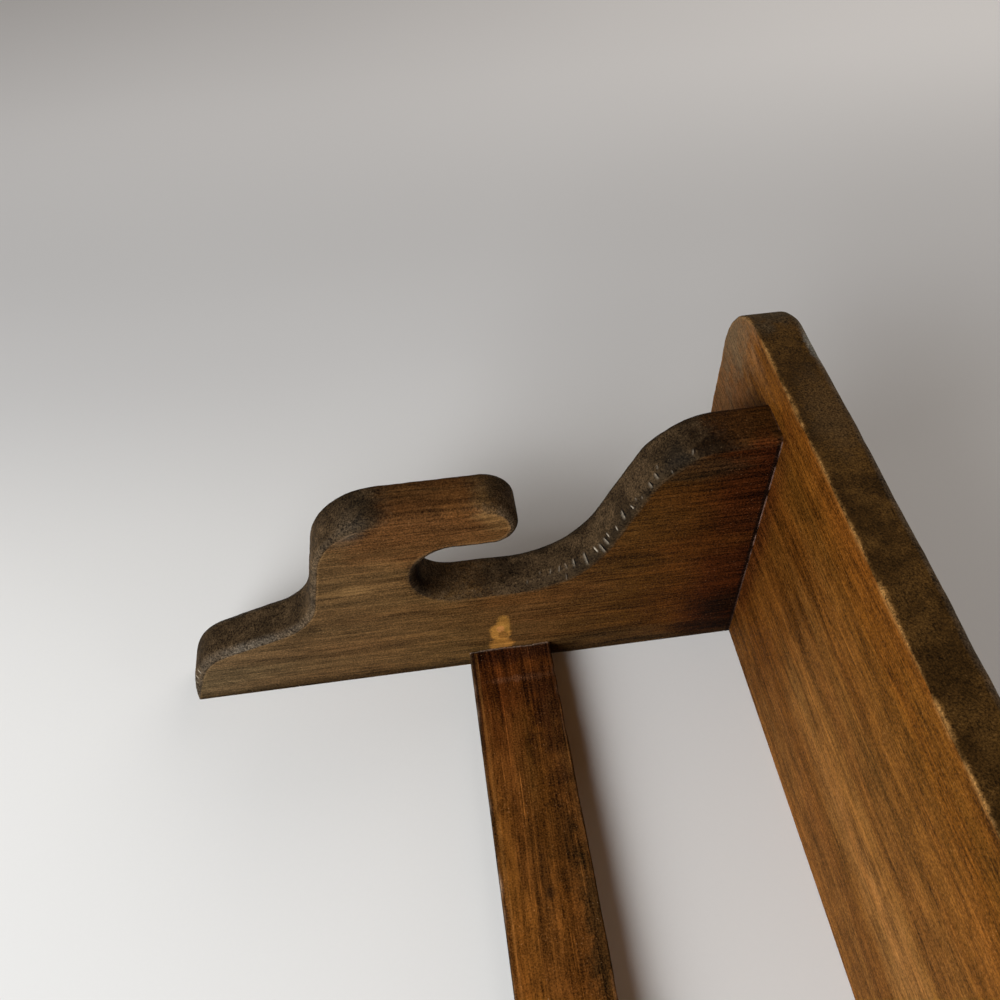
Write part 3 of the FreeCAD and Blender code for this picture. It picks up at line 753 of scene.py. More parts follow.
class Skin:
    """Collects the patches of one piece and makes one closed mesh of them."""

    # The sheen mark paints a grey highlight, and lays soot where negative; a negative torn mark paints shadow
    # at the tears.
    MARKS = ("cut", "crest", "torn", "scuffed")
    CRISP_TURN = math.radians(35.0)

    def __init__(self) -> None:
        """Start with no patches."""
        self.points: list[np.ndarray] = []
        self.faces: list[Sequence[int]] = []
        self.marks: dict[str, list[np.ndarray]] = {name: [] for name in self.MARKS}
        self.count = 0

    def _take(self, points: np.ndarray, marks: Marks | None) -> int:
        """Store vertices with their marks.

        Args:
            points: array of coordinates.
            marks: vertex marks, 0 where they aren't given.

        Returns:
            Number of the first vertex.
        """
        flat = np.asarray(points, float).reshape(-1, 3)
        for name in self.MARKS:
            values = (marks or {}).get(name, 0.0)
            self.marks[name].append(np.broadcast_to(values, points.shape[:-1]).reshape(-1))
        self.points.append(flat)
        first, self.count = self.count, self.count + len(flat)
        return first

    def grid(self, points: np.ndarray, marks: Marks | None = None, ring: bool = False) -> None:
        """Add a surface on a grid of two parameters.

        Args:
            points: array of rows, columns and coordinates.
            marks: vertex marks on the same grid.
            ring: whether the columns close into a ring.
        """
        rows, columns = points.shape[:2]
        number = self._take(points, marks) + np.arange(rows * columns).reshape(rows, columns)
        if ring:
            number = np.concatenate([number, number[:, :1]], axis=1)
        corners = (number[:-1, :-1], number[:-1, 1:], number[1:, 1:], number[1:, :-1])
        self.faces.extend(np.stack(corners, axis=-1).reshape(-1, 4).tolist())

    def fill(self, loop: np.ndarray, marks: Marks | None = None) -> None:
        """Add one flat face within a closed loop of points."""
        first = self._take(loop, marks)
        self.faces.append(list(range(first, first + len(loop))))

    def sheet(self, loop: np.ndarray, holes: Sequence[np.ndarray], axes: tuple[int, int]) -> None:
        """Add a flat sheet within a loop, open at its holes, cut into triangles.

        Args:
            loop: closed outer loop of points.
            holes: closed loops inside it.
            axes: the two axes of its plane.
        """
        rims = [loop, *holes]
        starts = np.cumsum([0] + [len(rim) for rim in rims])
        every = np.concatenate(rims)
        flat = [Vector(pair) for pair in every[:, axes].tolist()]
        outer = list(range(len(loop)))
        inner = []
        for first, rim in zip(starts[1:], holes):
            number = first + np.arange(len(rim))
            inner += np.stack([number, np.roll(number, -1)], axis=1).tolist()
        made = delaunay_2d_cdt(flat, inner, [outer], INSIDE_TRIANGLES, WELD * 0.1)
        spots = np.array([tuple(vertex) for vertex in made[0]])
        triangles = np.array(made[2])
        middle = spots[triangles].mean(axis=1)
        keep = np.ones(len(triangles), bool)
        for rim in holes:
            centre = rim[:, axes].mean(axis=0)
            radius = np.linalg.norm(rim[:, axes] - centre, axis=1).min()
            keep &= np.linalg.norm(middle - centre, axis=1) > radius * 0.999
        points = np.zeros((len(spots), 3))
        points[:] = every[0]
        points[:, axes] = spots
        first = self._take(points, None)
        self.faces.extend((triangles[keep] + first).tolist())

    def build(self, name: str) -> bpy.types.Object:
        """Weld the patches into a mesh whose faces point outwards.

        Args:
            name: name of the piece.

        Returns:
            The object, at the origin.
        """
        mesh = bpy.data.meshes.new(name)
        mesh.from_pydata(np.concatenate(self.points).tolist(), [], self.faces)
        for mark, values in self.marks.items():
            layer = mesh.attributes.new(mark, "FLOAT", "POINT")
            layer.data.foreach_set("value", np.concatenate(values).astype(np.float32))
        work = bmesh.new()
        work.from_mesh(mesh)
        bmesh.ops.remove_doubles(work, verts=work.verts, dist=WELD)
        bmesh.ops.dissolve_degenerate(work, edges=work.edges, dist=WELD)
        bmesh.ops.recalc_face_normals(work, faces=work.faces)
        open_edges = sum(not edge.is_manifold for edge in work.edges)
        work.to_mesh(mesh)
        work.free()
        mesh.shade_smooth()
        mesh.set_sharp_from_angle(angle=self.CRISP_TURN)
        piece = bpy.data.objects.new(name, mesh)
        bpy.context.scene.collection.objects.link(piece)
        LOG.info("%s: %d faces, %d open edges", name, len(mesh.polygons), open_edges)
        return piece


def settle(piece: bpy.types.Object, material: bpy.types.Material, slot: str, *nodes: str) -> None:
    """Dress a piece, fix it to the shelf and let it stand for its solid.

    Args:
        piece: the new piece.
        material: its finish.
        slot: not used.
        nodes: solids that it stands for.
    """
    piece.data.materials.append(material)
    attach(piece, ROOT)
    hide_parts(*nodes)


def circle(centre: Point, radius: float, across: int, up: int, count: int = 40) -> np.ndarray:
    """Closed loop of points: centre plus radius times the direction of even angles.

    Args:
        centre: middle of the loop.
        radius: its radius.
        across: first axis of its plane.
        up: second axis.
        count: how many points.

    Returns:
        The points.
    """
    angle = np.arange(count) * 2 * np.pi / count
    loop = np.repeat(np.asarray(centre, float)[None], count, axis=0)
    loop[:, across] += radius * np.cos(angle)
    loop[:, up] += radius * np.sin(angle)
    return loop


def blind_hole(skin: Skin, rim: np.ndarray, depth: Sequence[float]) -> None:
    """Add the wall and floor of a hole: its rim, the rim moved by the depth, and that loop's middle.

    Args:
        skin: patches of the piece.
        rim: loop at its mouth.
        depth: way from the mouth to the floor.
    """
    floor = rim + np.asarray(depth)
    middle = np.repeat(floor.mean(axis=0)[None], len(rim), axis=0)
    skin.grid(np.stack([rim, floor, middle]), ring=True)


# Sub-assemblies


@dataclass
class ScrollOutline:
    """Outline of a bracket in its own plane: wall at 0, room towards -Y, shelf underside at 0, down -Z."""

    height: float
    reach: float
    brow_flat: float = 20 * MM
    brow_radius: float = 30 * MM
    scroll_angle: float = 64.0
    cove_radius: float = 42 * MM
    hook_floor: float = 54.4 * MM
    hook_gap: float = 29 * MM
    hook_seat_drop: float = 119.9 * MM
    horn_tip_drop: float = 94.5 * MM
    tip_front_radius: float = 13 * MM
    tip_back_radius: float = 10 * MM
    horn_flat: float = 36.8 * MM
    shoulder_radius: float = 30 * MM
    horn_lean: float = 11.3
    horn_underside: float = 23.6 * MM
    step_radius: float = 23 * MM
    nose_radius: float = 25 * MM
    nose_rise: float = 10 * MM
    step: float = 0.6 * MM
    fine_step: float = 0.25 * MM

    def trail(self) -> tuple[np.ndarray, np.ndarray, np.ndarray, dict[str, float]]:
        """Walk the scroll cut from the foot at the wall to the front below the shelf.

        Returns:
            Points, outer normals, distances and the distance at which each named stretch begins.
        """
        lean, scroll = math.radians(self.horn_lean), math.radians(self.scroll_angle)
        floor, seat = -self.hook_floor, self.hook_gap / 2
        roof = floor - 2 * seat
        front = roof - self.tip_back_radius - self.tip_front_radius
        tip_front = np.array([front + self.tip_front_radius, -self.horn_tip_drop - self.tip_front_radius])
        tip_back = np.array([roof - self.tip_back_radius, -self.horn_tip_drop - self.tip_back_radius])
        seat_centre = np.array([floor - seat, -self.hook_seat_drop])
        shoulder = np.array([front + self.shoulder_radius, tip_front[1] - self.horn_flat])
        down = np.array([math.cos(lean), -math.sin(lean)])
        out = np.array([-math.sin(lean), -math.cos(lean)])
        lean_top = shoulder + self.shoulder_radius * out
        step_top = lean_top + self.horn_underside * down
        step_centre = step_top + self.step_radius * out
        nose = np.array([-self.nose_rise, self.nose_radius - self.height])
        across, drop = nose - step_centre
        both = self.step_radius + self.nose_radius
        slope = math.atan2(drop, across) + math.acos(both / math.hypot(across, drop))
        ray = np.array([math.cos(slope), math.sin(slope)])
        brow = np.array([self.brow_radius - self.reach, -self.brow_flat])
        leaning = np.array([math.cos(scroll), math.sin(scroll)])
        brow_low = brow - self.brow_radius * leaning
        cove_x = floor - self.cove_radius
        rise = cove_x + self.cove_radius * leaning[0] - brow_low[0]
        cove_high = np.array([brow_low[0] + rise, brow_low[1] - rise / math.tan(scroll)])
        cove = np.array([cove_x, cove_high[1] - self.cove_radius * leaning[1]])

        walk = Trail(self.step)
        turn, fine = math.degrees(slope), self.fine_step
        walk.line((0.0, -self.height), (nose[0], -self.height), "foot")
        walk.arc(nose, self.nose_radius, 270, 180 + turn, "nose")
        walk.line(nose - self.nose_radius * ray, step_centre + self.step_radius * ray, "slope")
        walk.arc(step_centre, self.step_radius, turn, 90 - self.horn_lean, "step")
        walk.line(step_top, lean_top, "underside")
        walk.arc(shoulder, self.shoulder_radius, 270 - self.horn_lean, 180, "shoulder")
        walk.line((front, shoulder[1]), (front, tip_front[1]), "front")
        walk.arc(tip_front, self.tip_front_radius, 180, 90, "tip")
        walk.arc(tip_back, self.tip_back_radius, 90, 0)
        walk.line((roof, tip_back[1]), (roof, seat_centre[1]), "roof")
        walk.arc(seat_centre, seat, 180, 360, "seat")
        walk.line((floor, seat_centre[1]), (floor, cove[1]), "floor")
        walk.arc(cove, self.cove_radius, 0, self.scroll_angle, "cove", fine)
        walk.line(cove_high, brow_low, "scroll", fine)
        walk.arc(brow, self.brow_radius, 180 + self.scroll_angle, 180, "brow", fine)
        walk.line((-self.reach, brow[1]), (-self.reach, 0.0), "flat")
        points, normals, travel = walk.sampled((-self.reach, 0.0))
        return points, normals, travel, {name: travel[i] for name, i in walk.starts.items()}


@dataclass(frozen=True)
class EdgeStop:
    """Shape and finish of the round at a place of the outline, in millimetres past a stretch's start.

    Soak is the depth of stain; the last field is the share of painted grey sheen on the round, or of soot if
    negative.
    """

    stretch: str
    offset: float
    radius: float
    soak: float
    scuff: float = 0.1


@dataclass(frozen=True)
class Tear:
    """Gouge torn out of the round by the cutter: place past the cove's start and size in millimetres.

    The turn is the share of the way round the arris, 0 at the face and 1 at the sawn edge. A painted shadow
    lies beside each gouge; a negative depth is a slit painted dark as shadow, with a pale lip.
    """

    offset: float
    turn: float
    length: float
    width: float
    depth: float


@dataclass
class Bracket:
    """Scroll-cut bracket: the rounded edge is a profile carried along the outline, the rest is flat."""

    side: Side
    round_over: float = 4 * MM
    face_margin: float = 4 * MM
    plate_radius: float = 7.1 * MM
    plate_margin: float = 3 * MM
    plate_depth: float = 1.6 * MM
    room_radius: float = 5.5 * MM
    room_depth: float = 9 * MM
    room_rise: float = 10 * MM
    nail_set: float = 2 * MM
    nail_rim: float = 1.5 * MM
    back_step: float = 4 * MM
    wander: float = 0.07 * MM
    calm_end: float = 8 * MM
    tear_sink: float = 0.9 * MM
    lip_shade: float = 2.3

    INNER_STEPS, FLAT_STEPS, OUTER_STEPS = 14, 20, 9
    BACK_COLUMNS, NAIL_STEPS = 9, 24
    WANDER_SEED, TEAR_SEED = 16, 23
    FOOT_DRIFT = ((0, -1.0), (3, -1.1), (7, -0.7), (10, -0.2), (14, 0.4), (20, 0.6))
    FOOT_FADE = (18 * MM, 34 * MM)
    ROUND_WAY, TEAR_SHIFT, TEAR_SLANT = 7.0, 1.6, (-0.2, 1.6)
    WANDER_WAVES = (50 * MM, 2.5 * MM)
    # Rows: offset, radius, soak and the share of painted sheen, soot where negative.
    EDGE_STOPS = tuple(
        EdgeStop(stretch, *row)
        for stretch, rows in {
            "foot": ((0, 0.5, 1.0), (5, 1.8, 1.0), (13, 3.9, 1.0)),
            "nose": ((10, 4.5, 1.0),),
            "slope": ((0, 4.0, 1.0, 0.18), (8, 3.7, 1.0, 0.32)),
            "step": ((2, 3.3, 1.0, 0.14), (14, 3.1, 1.0)),
            "underside": ((5, 2.9, 1.0, 0.08),),
            "shoulder": ((0, 2.9, 1.0, 0.07), (14, 2.9, 1.0, 0.06), (26, 3.4, 0.85, 0.0)),
            "front": ((0, 4.0, 0.4, 0.0), (8, 4.3, 0.12, 0.0), (24, 4.6, 0.06, 0.0), (34, 4.6, 0.35, 0.0)),
            "tip": ((10, 4.2, 0.7, 0.05), (24, 3.8, 1.0, 0.05)),
            "roof": ((6, 3.6, 0.6, 0.0),),
            "seat": ((4, 3.8, 0.85, 0.0), (14, 4.0, 1.0, -0.1), (28, 4.2, 1.0, -0.1), (36, 4.4, 0.6, 0.0)),
            "floor": ((6, 4.6, 0.48, 0.0),),
            "cove": ((0, 5.0, 0.75, -0.25), (24, 5.6, 0.97, -0.55)),
            "scroll": ((8, 3.8, 1.0, -0.6),),
            "brow": ((0, 3.5, 1.0, -0.5), (8, 4.3, 0.97, -0.6), (14, 4.9, 0.9, -0.45)),
            "flat": ((2, 3.2, 0.4, -0.1), (20, 3.0, 0.15, 0.0)),
        }.items()
        for row in rows
    )
    TEARS = (
        Tear(-298.8, 0.62, 1.6, 0.40, -0.6),
        Tear(-295.0, 0.58, 2.2, 0.45, -0.7),
        Tear(-290.0, 0.50, 2.0, 0.45, -0.6),
        Tear(7.7, 0.62, 1.2, 0.35, 0.25),
        Tear(13.5, 0.90, 1.0, 0.35, 0.25),
        Tear(17.8, 0.76, 1.3, 0.4, 0.4),
        Tear(21.6, 0.72, 1.4, 0.4, 0.5),
        Tear(22.4, 0.16, 2.2, 0.3, 0.6),
        Tear(24.6, 0.70, 1.5, 0.4, 0.4),
        Tear(28.1, 0.66, 2.0, 0.5, 0.65),
        Tear(33.4, 0.52, 3.4, 0.5, 0.9),
        Tear(38.9, 0.56, 1.8, 0.45, -0.6),
        Tear(41.9, 0.34, 3.2, 0.55, 0.9),
        Tear(45.8, 0.46, 2.6, 0.55, 0.85),
        Tear(48.0, 0.62, 1.6, 0.4, -0.5),
        Tear(53.5, 0.45, 1.5, 0.4, -0.5),
        Tear(60.9, 0.70, 3.2, 0.6, 1.0),
        Tear(66.0, 0.52, 1.6, 0.4, -0.5),
        Tear(70.5, 0.66, 1.0, 0.4, 0.4),
        Tear(73.0, 0.40, 1.0, 0.4, 0.3),
        Tear(79.6, 0.48, 2.4, 0.5, 0.7),
        Tear(84.2, 0.58, 2.2, 0.5, 0.7),
        Tear(86.4, 0.98, 1.6, 0.45, 0.5),
        Tear(90.0, 0.18, 1.3, 0.4, 0.5),
        Tear(100.9, 0.60, 1.5, 0.45, 0.5),
    )

    def __post_init__(self) -> None:
        """Take thickness, place and height from the frame."""
        low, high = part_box(f"{self.side.word}_bracket")
        self.middle = (low.x + high.x) / 2
        self.half = (high.x - low.x) / 2
        self.top, self.bottom = high.z, low.z
        self.outline = ScrollOutline(height=self.top - self.bottom, reach=-low.y)

    def build(self) -> bpy.types.Object:
        """Make the bracket.

        Returns:
            The piece.
        """
        skin = Skin()
        edge, marks = self._edge()
        skin.grid(edge, marks)
        rows = self._back_rows()
        self._side_sheets(skin, edge, rows)
        self._back(skin, edge[0], rows)
        corners = [[edge[-1, column, 0], 0.0, self.top] for column in (-1, 0)]
        skin.fill(self._with_back_columns(np.concatenate([edge[-1], corners])))
        return skin.build(f"{self.side.word}_scroll_bracket")

    def _edge(self) -> tuple[np.ndarray, Marks]:
        """Carry the rounded profile along the outline.

        Across the edge run a strip of the inner face, a quarter round, the sawn flat, a quarter round and
        a strip of the outer face. The radius follows the stops along the outline, the surface wanders by
        a fine ripple, and tears are sunk into the inner round along its own normal.

        Returns:
            Grid of points and its marks.
        """
        points, normals, travel, starts = self.outline.trail()
        places = [starts[stop.stretch] + stop.offset * MM for stop in self.EDGE_STOPS]
        sizes = np.array([(stop.radius * MM, stop.soak, stop.scuff) for stop in self.EDGE_STOPS])
        radius, soak, scuff = (np.interp(travel, places, size)[:, None] for size in sizes.T)
        share = np.array(STRIP_SHARES)
        inner = np.linspace(0.0, np.pi / 2, self.INNER_STEPS, endpoint=False)
        outer = np.linspace(0.0, np.pi / 2, self.OUTER_STEPS, endpoint=False)
        flat = np.linspace(0.0, 1.0, self.FLAT_STEPS)
        margin = (self.face_margin + self.round_over - radius) * (1 - share) + radius
        face = np.full_like(margin, self.half)
        ramp = self.half - radius
        across = [face, ramp + radius * np.cos(inner), ramp * (1 - 2 * flat)]
        across += [-(ramp + radius * np.cos(outer))[:, ::-1], -face]
        inset = [margin, radius * (1 - np.sin(inner)), 0 * radius * flat]
        inset += [(radius * (1 - np.sin(outer)))[:, ::-1], margin[:, ::-1]]
        across, inset = np.concatenate(across, axis=1), np.concatenate(inset, axis=1)

        none, full = np.zeros(len(share)), np.ones(len(flat))
        tilt = np.concatenate([none, inner, full * np.pi / 2, np.pi - outer[::-1], none + np.pi])
        dark = np.concatenate([none, smooth(inner, 0.0, 0.3), full, smooth(outer, 0.0, 0.3)[::-1], none])
        line = smooth(share, 0.9, 1.0)
        rims = [1 - smooth(angle, 0.0, 0.2) for angle in (inner, outer)]
        crest = np.concatenate([line, rims[0], 0 * full, rims[1][::-1], line[::-1]])
        # Painted sheen across the rounds, times the stops' share; where that share is negative it lays soot.
        wear_and_sheen = smooth(inner, 0.0, 0.3) * (1 - smooth(inner, 0.6, 1.57))
        scuffed = np.concatenate([none, wear_and_sheen, 0 * full, np.sin(2 * outer)[::-1], none]) * scuff
        turn = [share - 1, inner / (np.pi / 2), 1 + 2 * flat, 3 + none[:1], 3 + outer[1:], 3 + none]

        torn, shade = self._tears(travel, starts["cove"], np.concatenate(turn))
        ends = calm_ends(travel, self.calm_end)
        seed = self.WANDER_SEED + self.side.value
        wave = self.wander * ripple(travel, seed, *self.WANDER_WAVES) * ends
        sunk = np.abs(torn) * self.tear_sink - wave[:, None] * dark
        across = across - sunk * np.cos(tilt)
        inset = inset + sunk * np.sin(tilt)
        plane = points[:, None] - normals[:, None] * inset[..., None]
        plane[..., 1] += self._flare(-points[:, 0], travel)[:, None] * (1 - inset / inset[:, :1])
        place = (self.middle - self.side.value * across, plane[..., 0], plane[..., 1] + self.top)
        soot = np.clip(-scuff, 0.0, 1.0)
        over = np.concatenate([smooth(share, 0.55, 1.0), 1 + 0 * inner, 0 * full, 0 * outer, none]) * soot
        marks = {
            "cut": np.maximum(dark * soak, over),
            "crest": crest * soak * np.clip(1 - 3 * np.abs(scuff), 0.1, 1.0),
            # Torn depth, less the painted shadow beside the gouges.
            "torn": torn - self.lip_shade * shade,
            "scuffed": scuffed,
        }
        return np.stack(place, axis=-1), marks

    def _flare(self, off_wall: np.ndarray, travel: np.ndarray) -> np.ndarray:
        """Drift of the sawn foot: a little longer at the wall, a little shorter above it."""
        drift = np.interp(off_wall / MM, *zip(*self.FOOT_DRIFT))
        return drift * MM * (1 - smooth(travel, *self.FOOT_FADE))

    def _tears(self, travel: np.ndarray, cove: float, turn: np.ndarray) -> tuple[np.ndarray, np.ndarray]:
        """Torn gouges: a narrow bell along the path, steep on one side, times a long one round the arris.

        Args:
            travel: distances along the outline.
            cove: distance at which the cove starts.
            turn: share of the way round the arris.

        Returns:
            Depth of the gouges, and the painted shadow beside them.
        """
        draw = np.random.default_rng(self.TEAR_SEED + self.side.value)
        shift = 0.0
        if self.side is Side.RIGHT:
            shift = draw.uniform(-self.TEAR_SHIFT, self.TEAR_SHIFT, len(self.TEARS))
        table = np.array([(t.offset, t.turn, t.length, t.width, t.depth) for t in self.TEARS])
        spots, turns, lengths, widths, depths = table.T
        slant = draw.uniform(*self.TEAR_SLANT, len(table))
        aside = (turn[:, None] - turns) * self.ROUND_WAY
        ahead = (travel[:, None, None] - cove) / MM - spots - shift - slant * 0.4 * aside
        steep = np.where(ahead < 0, ahead / widths, ahead / (0.45 * widths))
        reach = (aside / (0.55 * lengths)) ** 4
        bells = np.exp(-(steep**2) - reach) * depths
        lip_shadows = np.exp(-(((ahead - 1.3 * widths) / (0.75 * widths)) ** 2) - reach) * depths
        on_round = smooth(turn, -0.02, 0.12)
        return bells.sum(axis=-1) * on_round, lip_shadows.sum(axis=-1) * on_round

    def _back_rows(self) -> np.ndarray:
        """Space the vertices up the back edge evenly between the foot, the hanger plate and the shelf.

        Returns:
            Their heights.
        """
        low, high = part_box(f"hanger_plate_{self.side.word}")
        self.plate_low, self.plate_high = low.z - self.plate_margin, high.z + self.plate_margin
        self.plate_ends = (low.z + self.plate_radius, high.z - self.plate_radius)
        foot = self.bottom + self.round_over + self.face_margin
        stops = (foot, self.plate_low, self.plate_high, self.top)
        pairs = zip(stops, stops[1:])
        runs = [np.linspace(a, b, max(2, round((b - a) / self.back_step))) for a, b in pairs]
        return np.unique(np.concatenate(runs).round(9))

    def _columns(self) -> np.ndarray:
        """Places of the vertices across the back edge."""
        return self.middle + np.linspace(-self.half, self.half, self.BACK_COLUMNS)

    def _with_back_columns(self, loop: np.ndarray) -> np.ndarray:
        """Put the vertices of the back edge between the last two corners of a loop.

        Args:
            loop: closed loop of points.

        Returns:
            The fuller loop.
        """
        first, last = loop[-2], loop[-1]
        inner = self._columns()[1:-1]
        if last[0] < first[0]:
            inner = inner[::-1]
        between = np.repeat(last[None], len(inner), axis=0)
        between[:, 0] = inner
        return np.concatenate([loop[:-1], between, loop[-1:]])

    def _side_sheets(self, skin: Skin, edge: np.ndarray, rows: np.ndarray) -> None:
        """Fill the flat faces within the edge strip; the outer one is open at its nail holes.

        Args:
            skin: patches of the bracket.
            edge: grid of the edge strip.
            rows: heights of the vertices up the back edge.
        """
        for column, inner in ((0, True), (-1, False)):
            rim = edge[:, column]
            back = np.zeros((len(rows) - 1, 3))
            back[:, 0] = rim[0, 0]
            back[:, 2] = rows[:0:-1]
            loop = np.concatenate([rim, back])
            holes = []
            if not inner:
                for place in ("lower", "upper"):
                    low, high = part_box(f"rail_nail_{self.side.word}_{place}")
                    centre = (rim[0, 0], (low.y + high.y) / 2, (low.z + high.z) / 2)
                    holes.append(circle(centre, self.nail_rim, 1, 2, self.NAIL_STEPS))
            skin.sheet(loop, holes, (1, 2))
            for hole in holes:
                blind_hole(skin, hole, (-self.side.value * self.nail_set, 0.0, 0.0))

    def _back(self, skin: Skin, foot: np.ndarray, rows: np.ndarray) -> None:
        """Close the back edge round the recess for the hanger plate.

        Args:
            skin: patches of the bracket.
            foot: first row of the edge strip, on the wall plane.
            rows: heights of the vertices up the edge.
        """
        columns = self._columns()
        inner_first = columns[::-1] if foot[0, 0] > foot[-1, 0] else columns
        closing = np.zeros((len(columns) - 2, 3))
        closing[:, 0] = inner_first[::-1][1:-1]
        closing[:, 2] = rows[0]
        skin.fill(np.concatenate([foot, closing]))
        for part in (rows[rows <= self.plate_low + WELD], rows[rows >= self.plate_high - WELD]):
            x, z = np.meshgrid(columns, part)
            skin.grid(np.stack([x, np.zeros_like(x), z], axis=-1))
        beside = (rows >= self.plate_low - WELD) & (rows <= self.plate_high + WELD)
        self._recess(skin, columns, rows[beside])

    def _recess(self, skin: Skin, columns: np.ndarray, rows: np.ndarray) -> None:
        """Loft from a rectangle to the recess and the room behind it.

        Each point of the rectangle goes to the nearest point of a line up the middle, stopped at a given
        radius from it: that is a slot with round ends. Loops of the recess and the room follow in depth.

        Args:
            skin: patches of the bracket.
            columns: places of the vertices across the back edge.
            rows: heights of the vertices beside the recess.
        """
        right = np.stack([np.full(len(rows) - 1, columns[-1]), rows[:-1]], axis=1)
        upper = np.stack([columns[:0:-1], np.full(len(columns) - 1, rows[-1])], axis=1)
        left = np.stack([np.full(len(rows) - 1, columns[0]), rows[:0:-1]], axis=1)
        lower = np.stack([columns[:-1], np.full(len(columns) - 1, rows[0])], axis=1)
        rectangle = np.concatenate([right, upper, left, lower])

        def slot(ends: tuple[float, float], radius: float) -> np.ndarray:
            """Answer the rectangle point by point with a slot.

            Args:
                ends: lowest and highest point of the line up its middle.
                radius: half its width.

            Returns:
                The loop.
            """
            heights = np.clip(rectangle[:, 1], *ends)
            spine = np.stack([np.full_like(heights, self.middle), heights], axis=1)
            ray = rectangle - spine
            return spine + radius * ray / np.linalg.norm(ray, axis=1, keepdims=True)

        room_ends = (0.0, self.room_rise)
        recess, room = slot(self.plate_ends, self.plate_radius), slot(room_ends, self.room_radius)
        spine = slot(room_ends, 0.0)
        loops = [
            (rectangle, 0.0),
            (recess, 0.0),
            (recess, self.plate_depth),
            (room, self.plate_depth),
            (room, self.room_depth),
            (spine, self.room_depth),
        ]
        skin.grid(np.stack([np.insert(loop, 1, -depth, axis=1) for loop, depth in loops]), ring=True)


@dataclass
class ShelfBoard:
    """Plank with round front corners: an edge profile carried round the plan, and two flat faces."""

    corner_radius: float = 28 * MM
    top_round: float = 4 * MM
    lower_round: float = 0.8 * MM
    face_margin: float = 6 * MM
    bore_radius: float = 4.85 * MM
    bore_depth: float = 6 * MM
    wander: float = 0.06 * MM
    calm_end: float = 10 * MM
    dent_sink: float = 0.7 * MM
    dent_lift: float = 0.2 * MM
    dent_inset: float = 0.9 * MM
    lift_zone: float = 3 * MM
    dent_free: float = 8 * MM
    step: float = 0.9 * MM

    TOP_STEPS, FLAT_STEPS, LOW_STEPS = 12, 24, 6
    TOP_SEED, LOW_SEED, WANDER_SEED, FLAKE_SEED = 41, 42, 43, 44
    TOP_WAVES, LOW_WAVES, WANDER_WAVES = (160 * MM, 9 * MM), (60 * MM, 4 * MM), (90 * MM, 4 * MM)
    TOP_UNEVEN, LOW_UNEVEN = 0.10, 0.45
    DENTS, DENT_SEED = 34, 7
    FLAKE_START, FLAKE_END = (-4.0, 1.0), (13.0, 17.0)
    FLAKE_HEAD, FLAKE_FOOT, FLAKE_RAGGED = (0.3, 1.4), (3.2, 5.0), 1.5
    FLAKE_WAVES = (6 * MM, 0.8 * MM)

    def __post_init__(self) -> None:
        """Take the size from the frame."""
        low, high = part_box("shelf_board")
        self.half, self.depth = high.x, -low.y
        self.low, self.high = low.z, high.z

    def build(self) -> bpy.types.Object:
        """Make the board.

        Returns:
            The piece.
        """
        skin = Skin()
        radius, half, depth = self.corner_radius, self.half, self.depth
        walk = Trail(self.step)
        walk.line((half, 0.0), (half, radius - depth))
        walk.arc((half - radius, radius - depth), radius, 0, -90)
        walk.line((half - radius, -depth), (radius - half, -depth))
        walk.arc((radius - half, radius - depth), radius, -90, -180)
        walk.line((-half, radius - depth), (-half, 0.0))
        points, normals, travel = walk.sampled((-half, 0.0))
        edge, marks = self._edge(points, normals, travel)
        skin.grid(edge, marks)
        skin.fill(np.concatenate([edge[0], edge[-1, ::-1]]))
        bores = [circle(plug, self.bore_radius, 0, 1, BORE_STEPS) for plug in self._plug_tops()]
        skin.sheet(edge[:, 0], bores, (0, 1))
        skin.sheet(edge[:, -1], [], (0, 1))
        for bore in bores:
            blind_hole(skin, bore, (0.0, 0.0, -self.bore_depth))
        return skin.build("shelf_plank")

    def _plug_tops(self) -> Iterable[Point]:
        """Find the middles of the four plugs on the top of the board.

        Returns:
            The points, one by one.
        """
        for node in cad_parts:
            if node.startswith("shelf_plug"):
                low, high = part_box(node)
                yield ((low.x + high.x) / 2, (low.y + high.y) / 2, self.high)

    def _edge(self, points: np.ndarray, normals: np.ndarray, travel: np.ndarray) -> tuple[np.ndarray, Marks]:
        """Carry the edge profile round the plan.

        Down the edge run a strip of the top, a quarter round, the sawn flat, a small quarter round and a
        strip of the underside. Both radii wander and small dents are pressed into the lower arris.

        Args:
            points: plan outline.
            normals: outer normals there.
            travel: distance along the outline.

        Returns:
            Grid of points and its marks.
        """
        ends = calm_ends(travel, self.calm_end)
        uneven_top = self.TOP_UNEVEN * ends * ripple(travel, self.TOP_SEED, *self.TOP_WAVES)
        uneven_low = self.LOW_UNEVEN * ends * ripple(travel, self.LOW_SEED, *self.LOW_WAVES)
        upper = self.top_round * (1 + uneven_top)[:, None]
        lower = self.lower_round * (1 + uneven_low)[:, None]
        share = np.array(STRIP_SHARES)
        angle = np.linspace(0.0, np.pi / 2, self.TOP_STEPS)
        small = np.linspace(np.pi / 2, 0.0, self.LOW_STEPS)
        flat = np.linspace(0.0, 1.0, self.FLAT_STEPS)[1:-1]
        top_strip = (self.face_margin + self.top_round - upper) * (1 - share) + upper
        low_strip = ((self.face_margin + self.lower_round - lower) * (1 - share) + lower)[:, ::-1]
        side_top, side_low = self.high - upper, self.low + lower
        level = np.zeros_like(top_strip)
        inset = [top_strip, upper * (1 - np.sin(angle)), 0 * upper * flat]
        inset += [lower * (1 - np.sin(small)), low_strip]
        height = [level + self.high, side_top + upper * np.cos(angle)]
        height += [side_top + (side_low - side_top) * flat]
        height += [side_low - lower * np.cos(small), level + self.low]
        inset, height = np.concatenate(inset, axis=1), np.concatenate(height, axis=1)

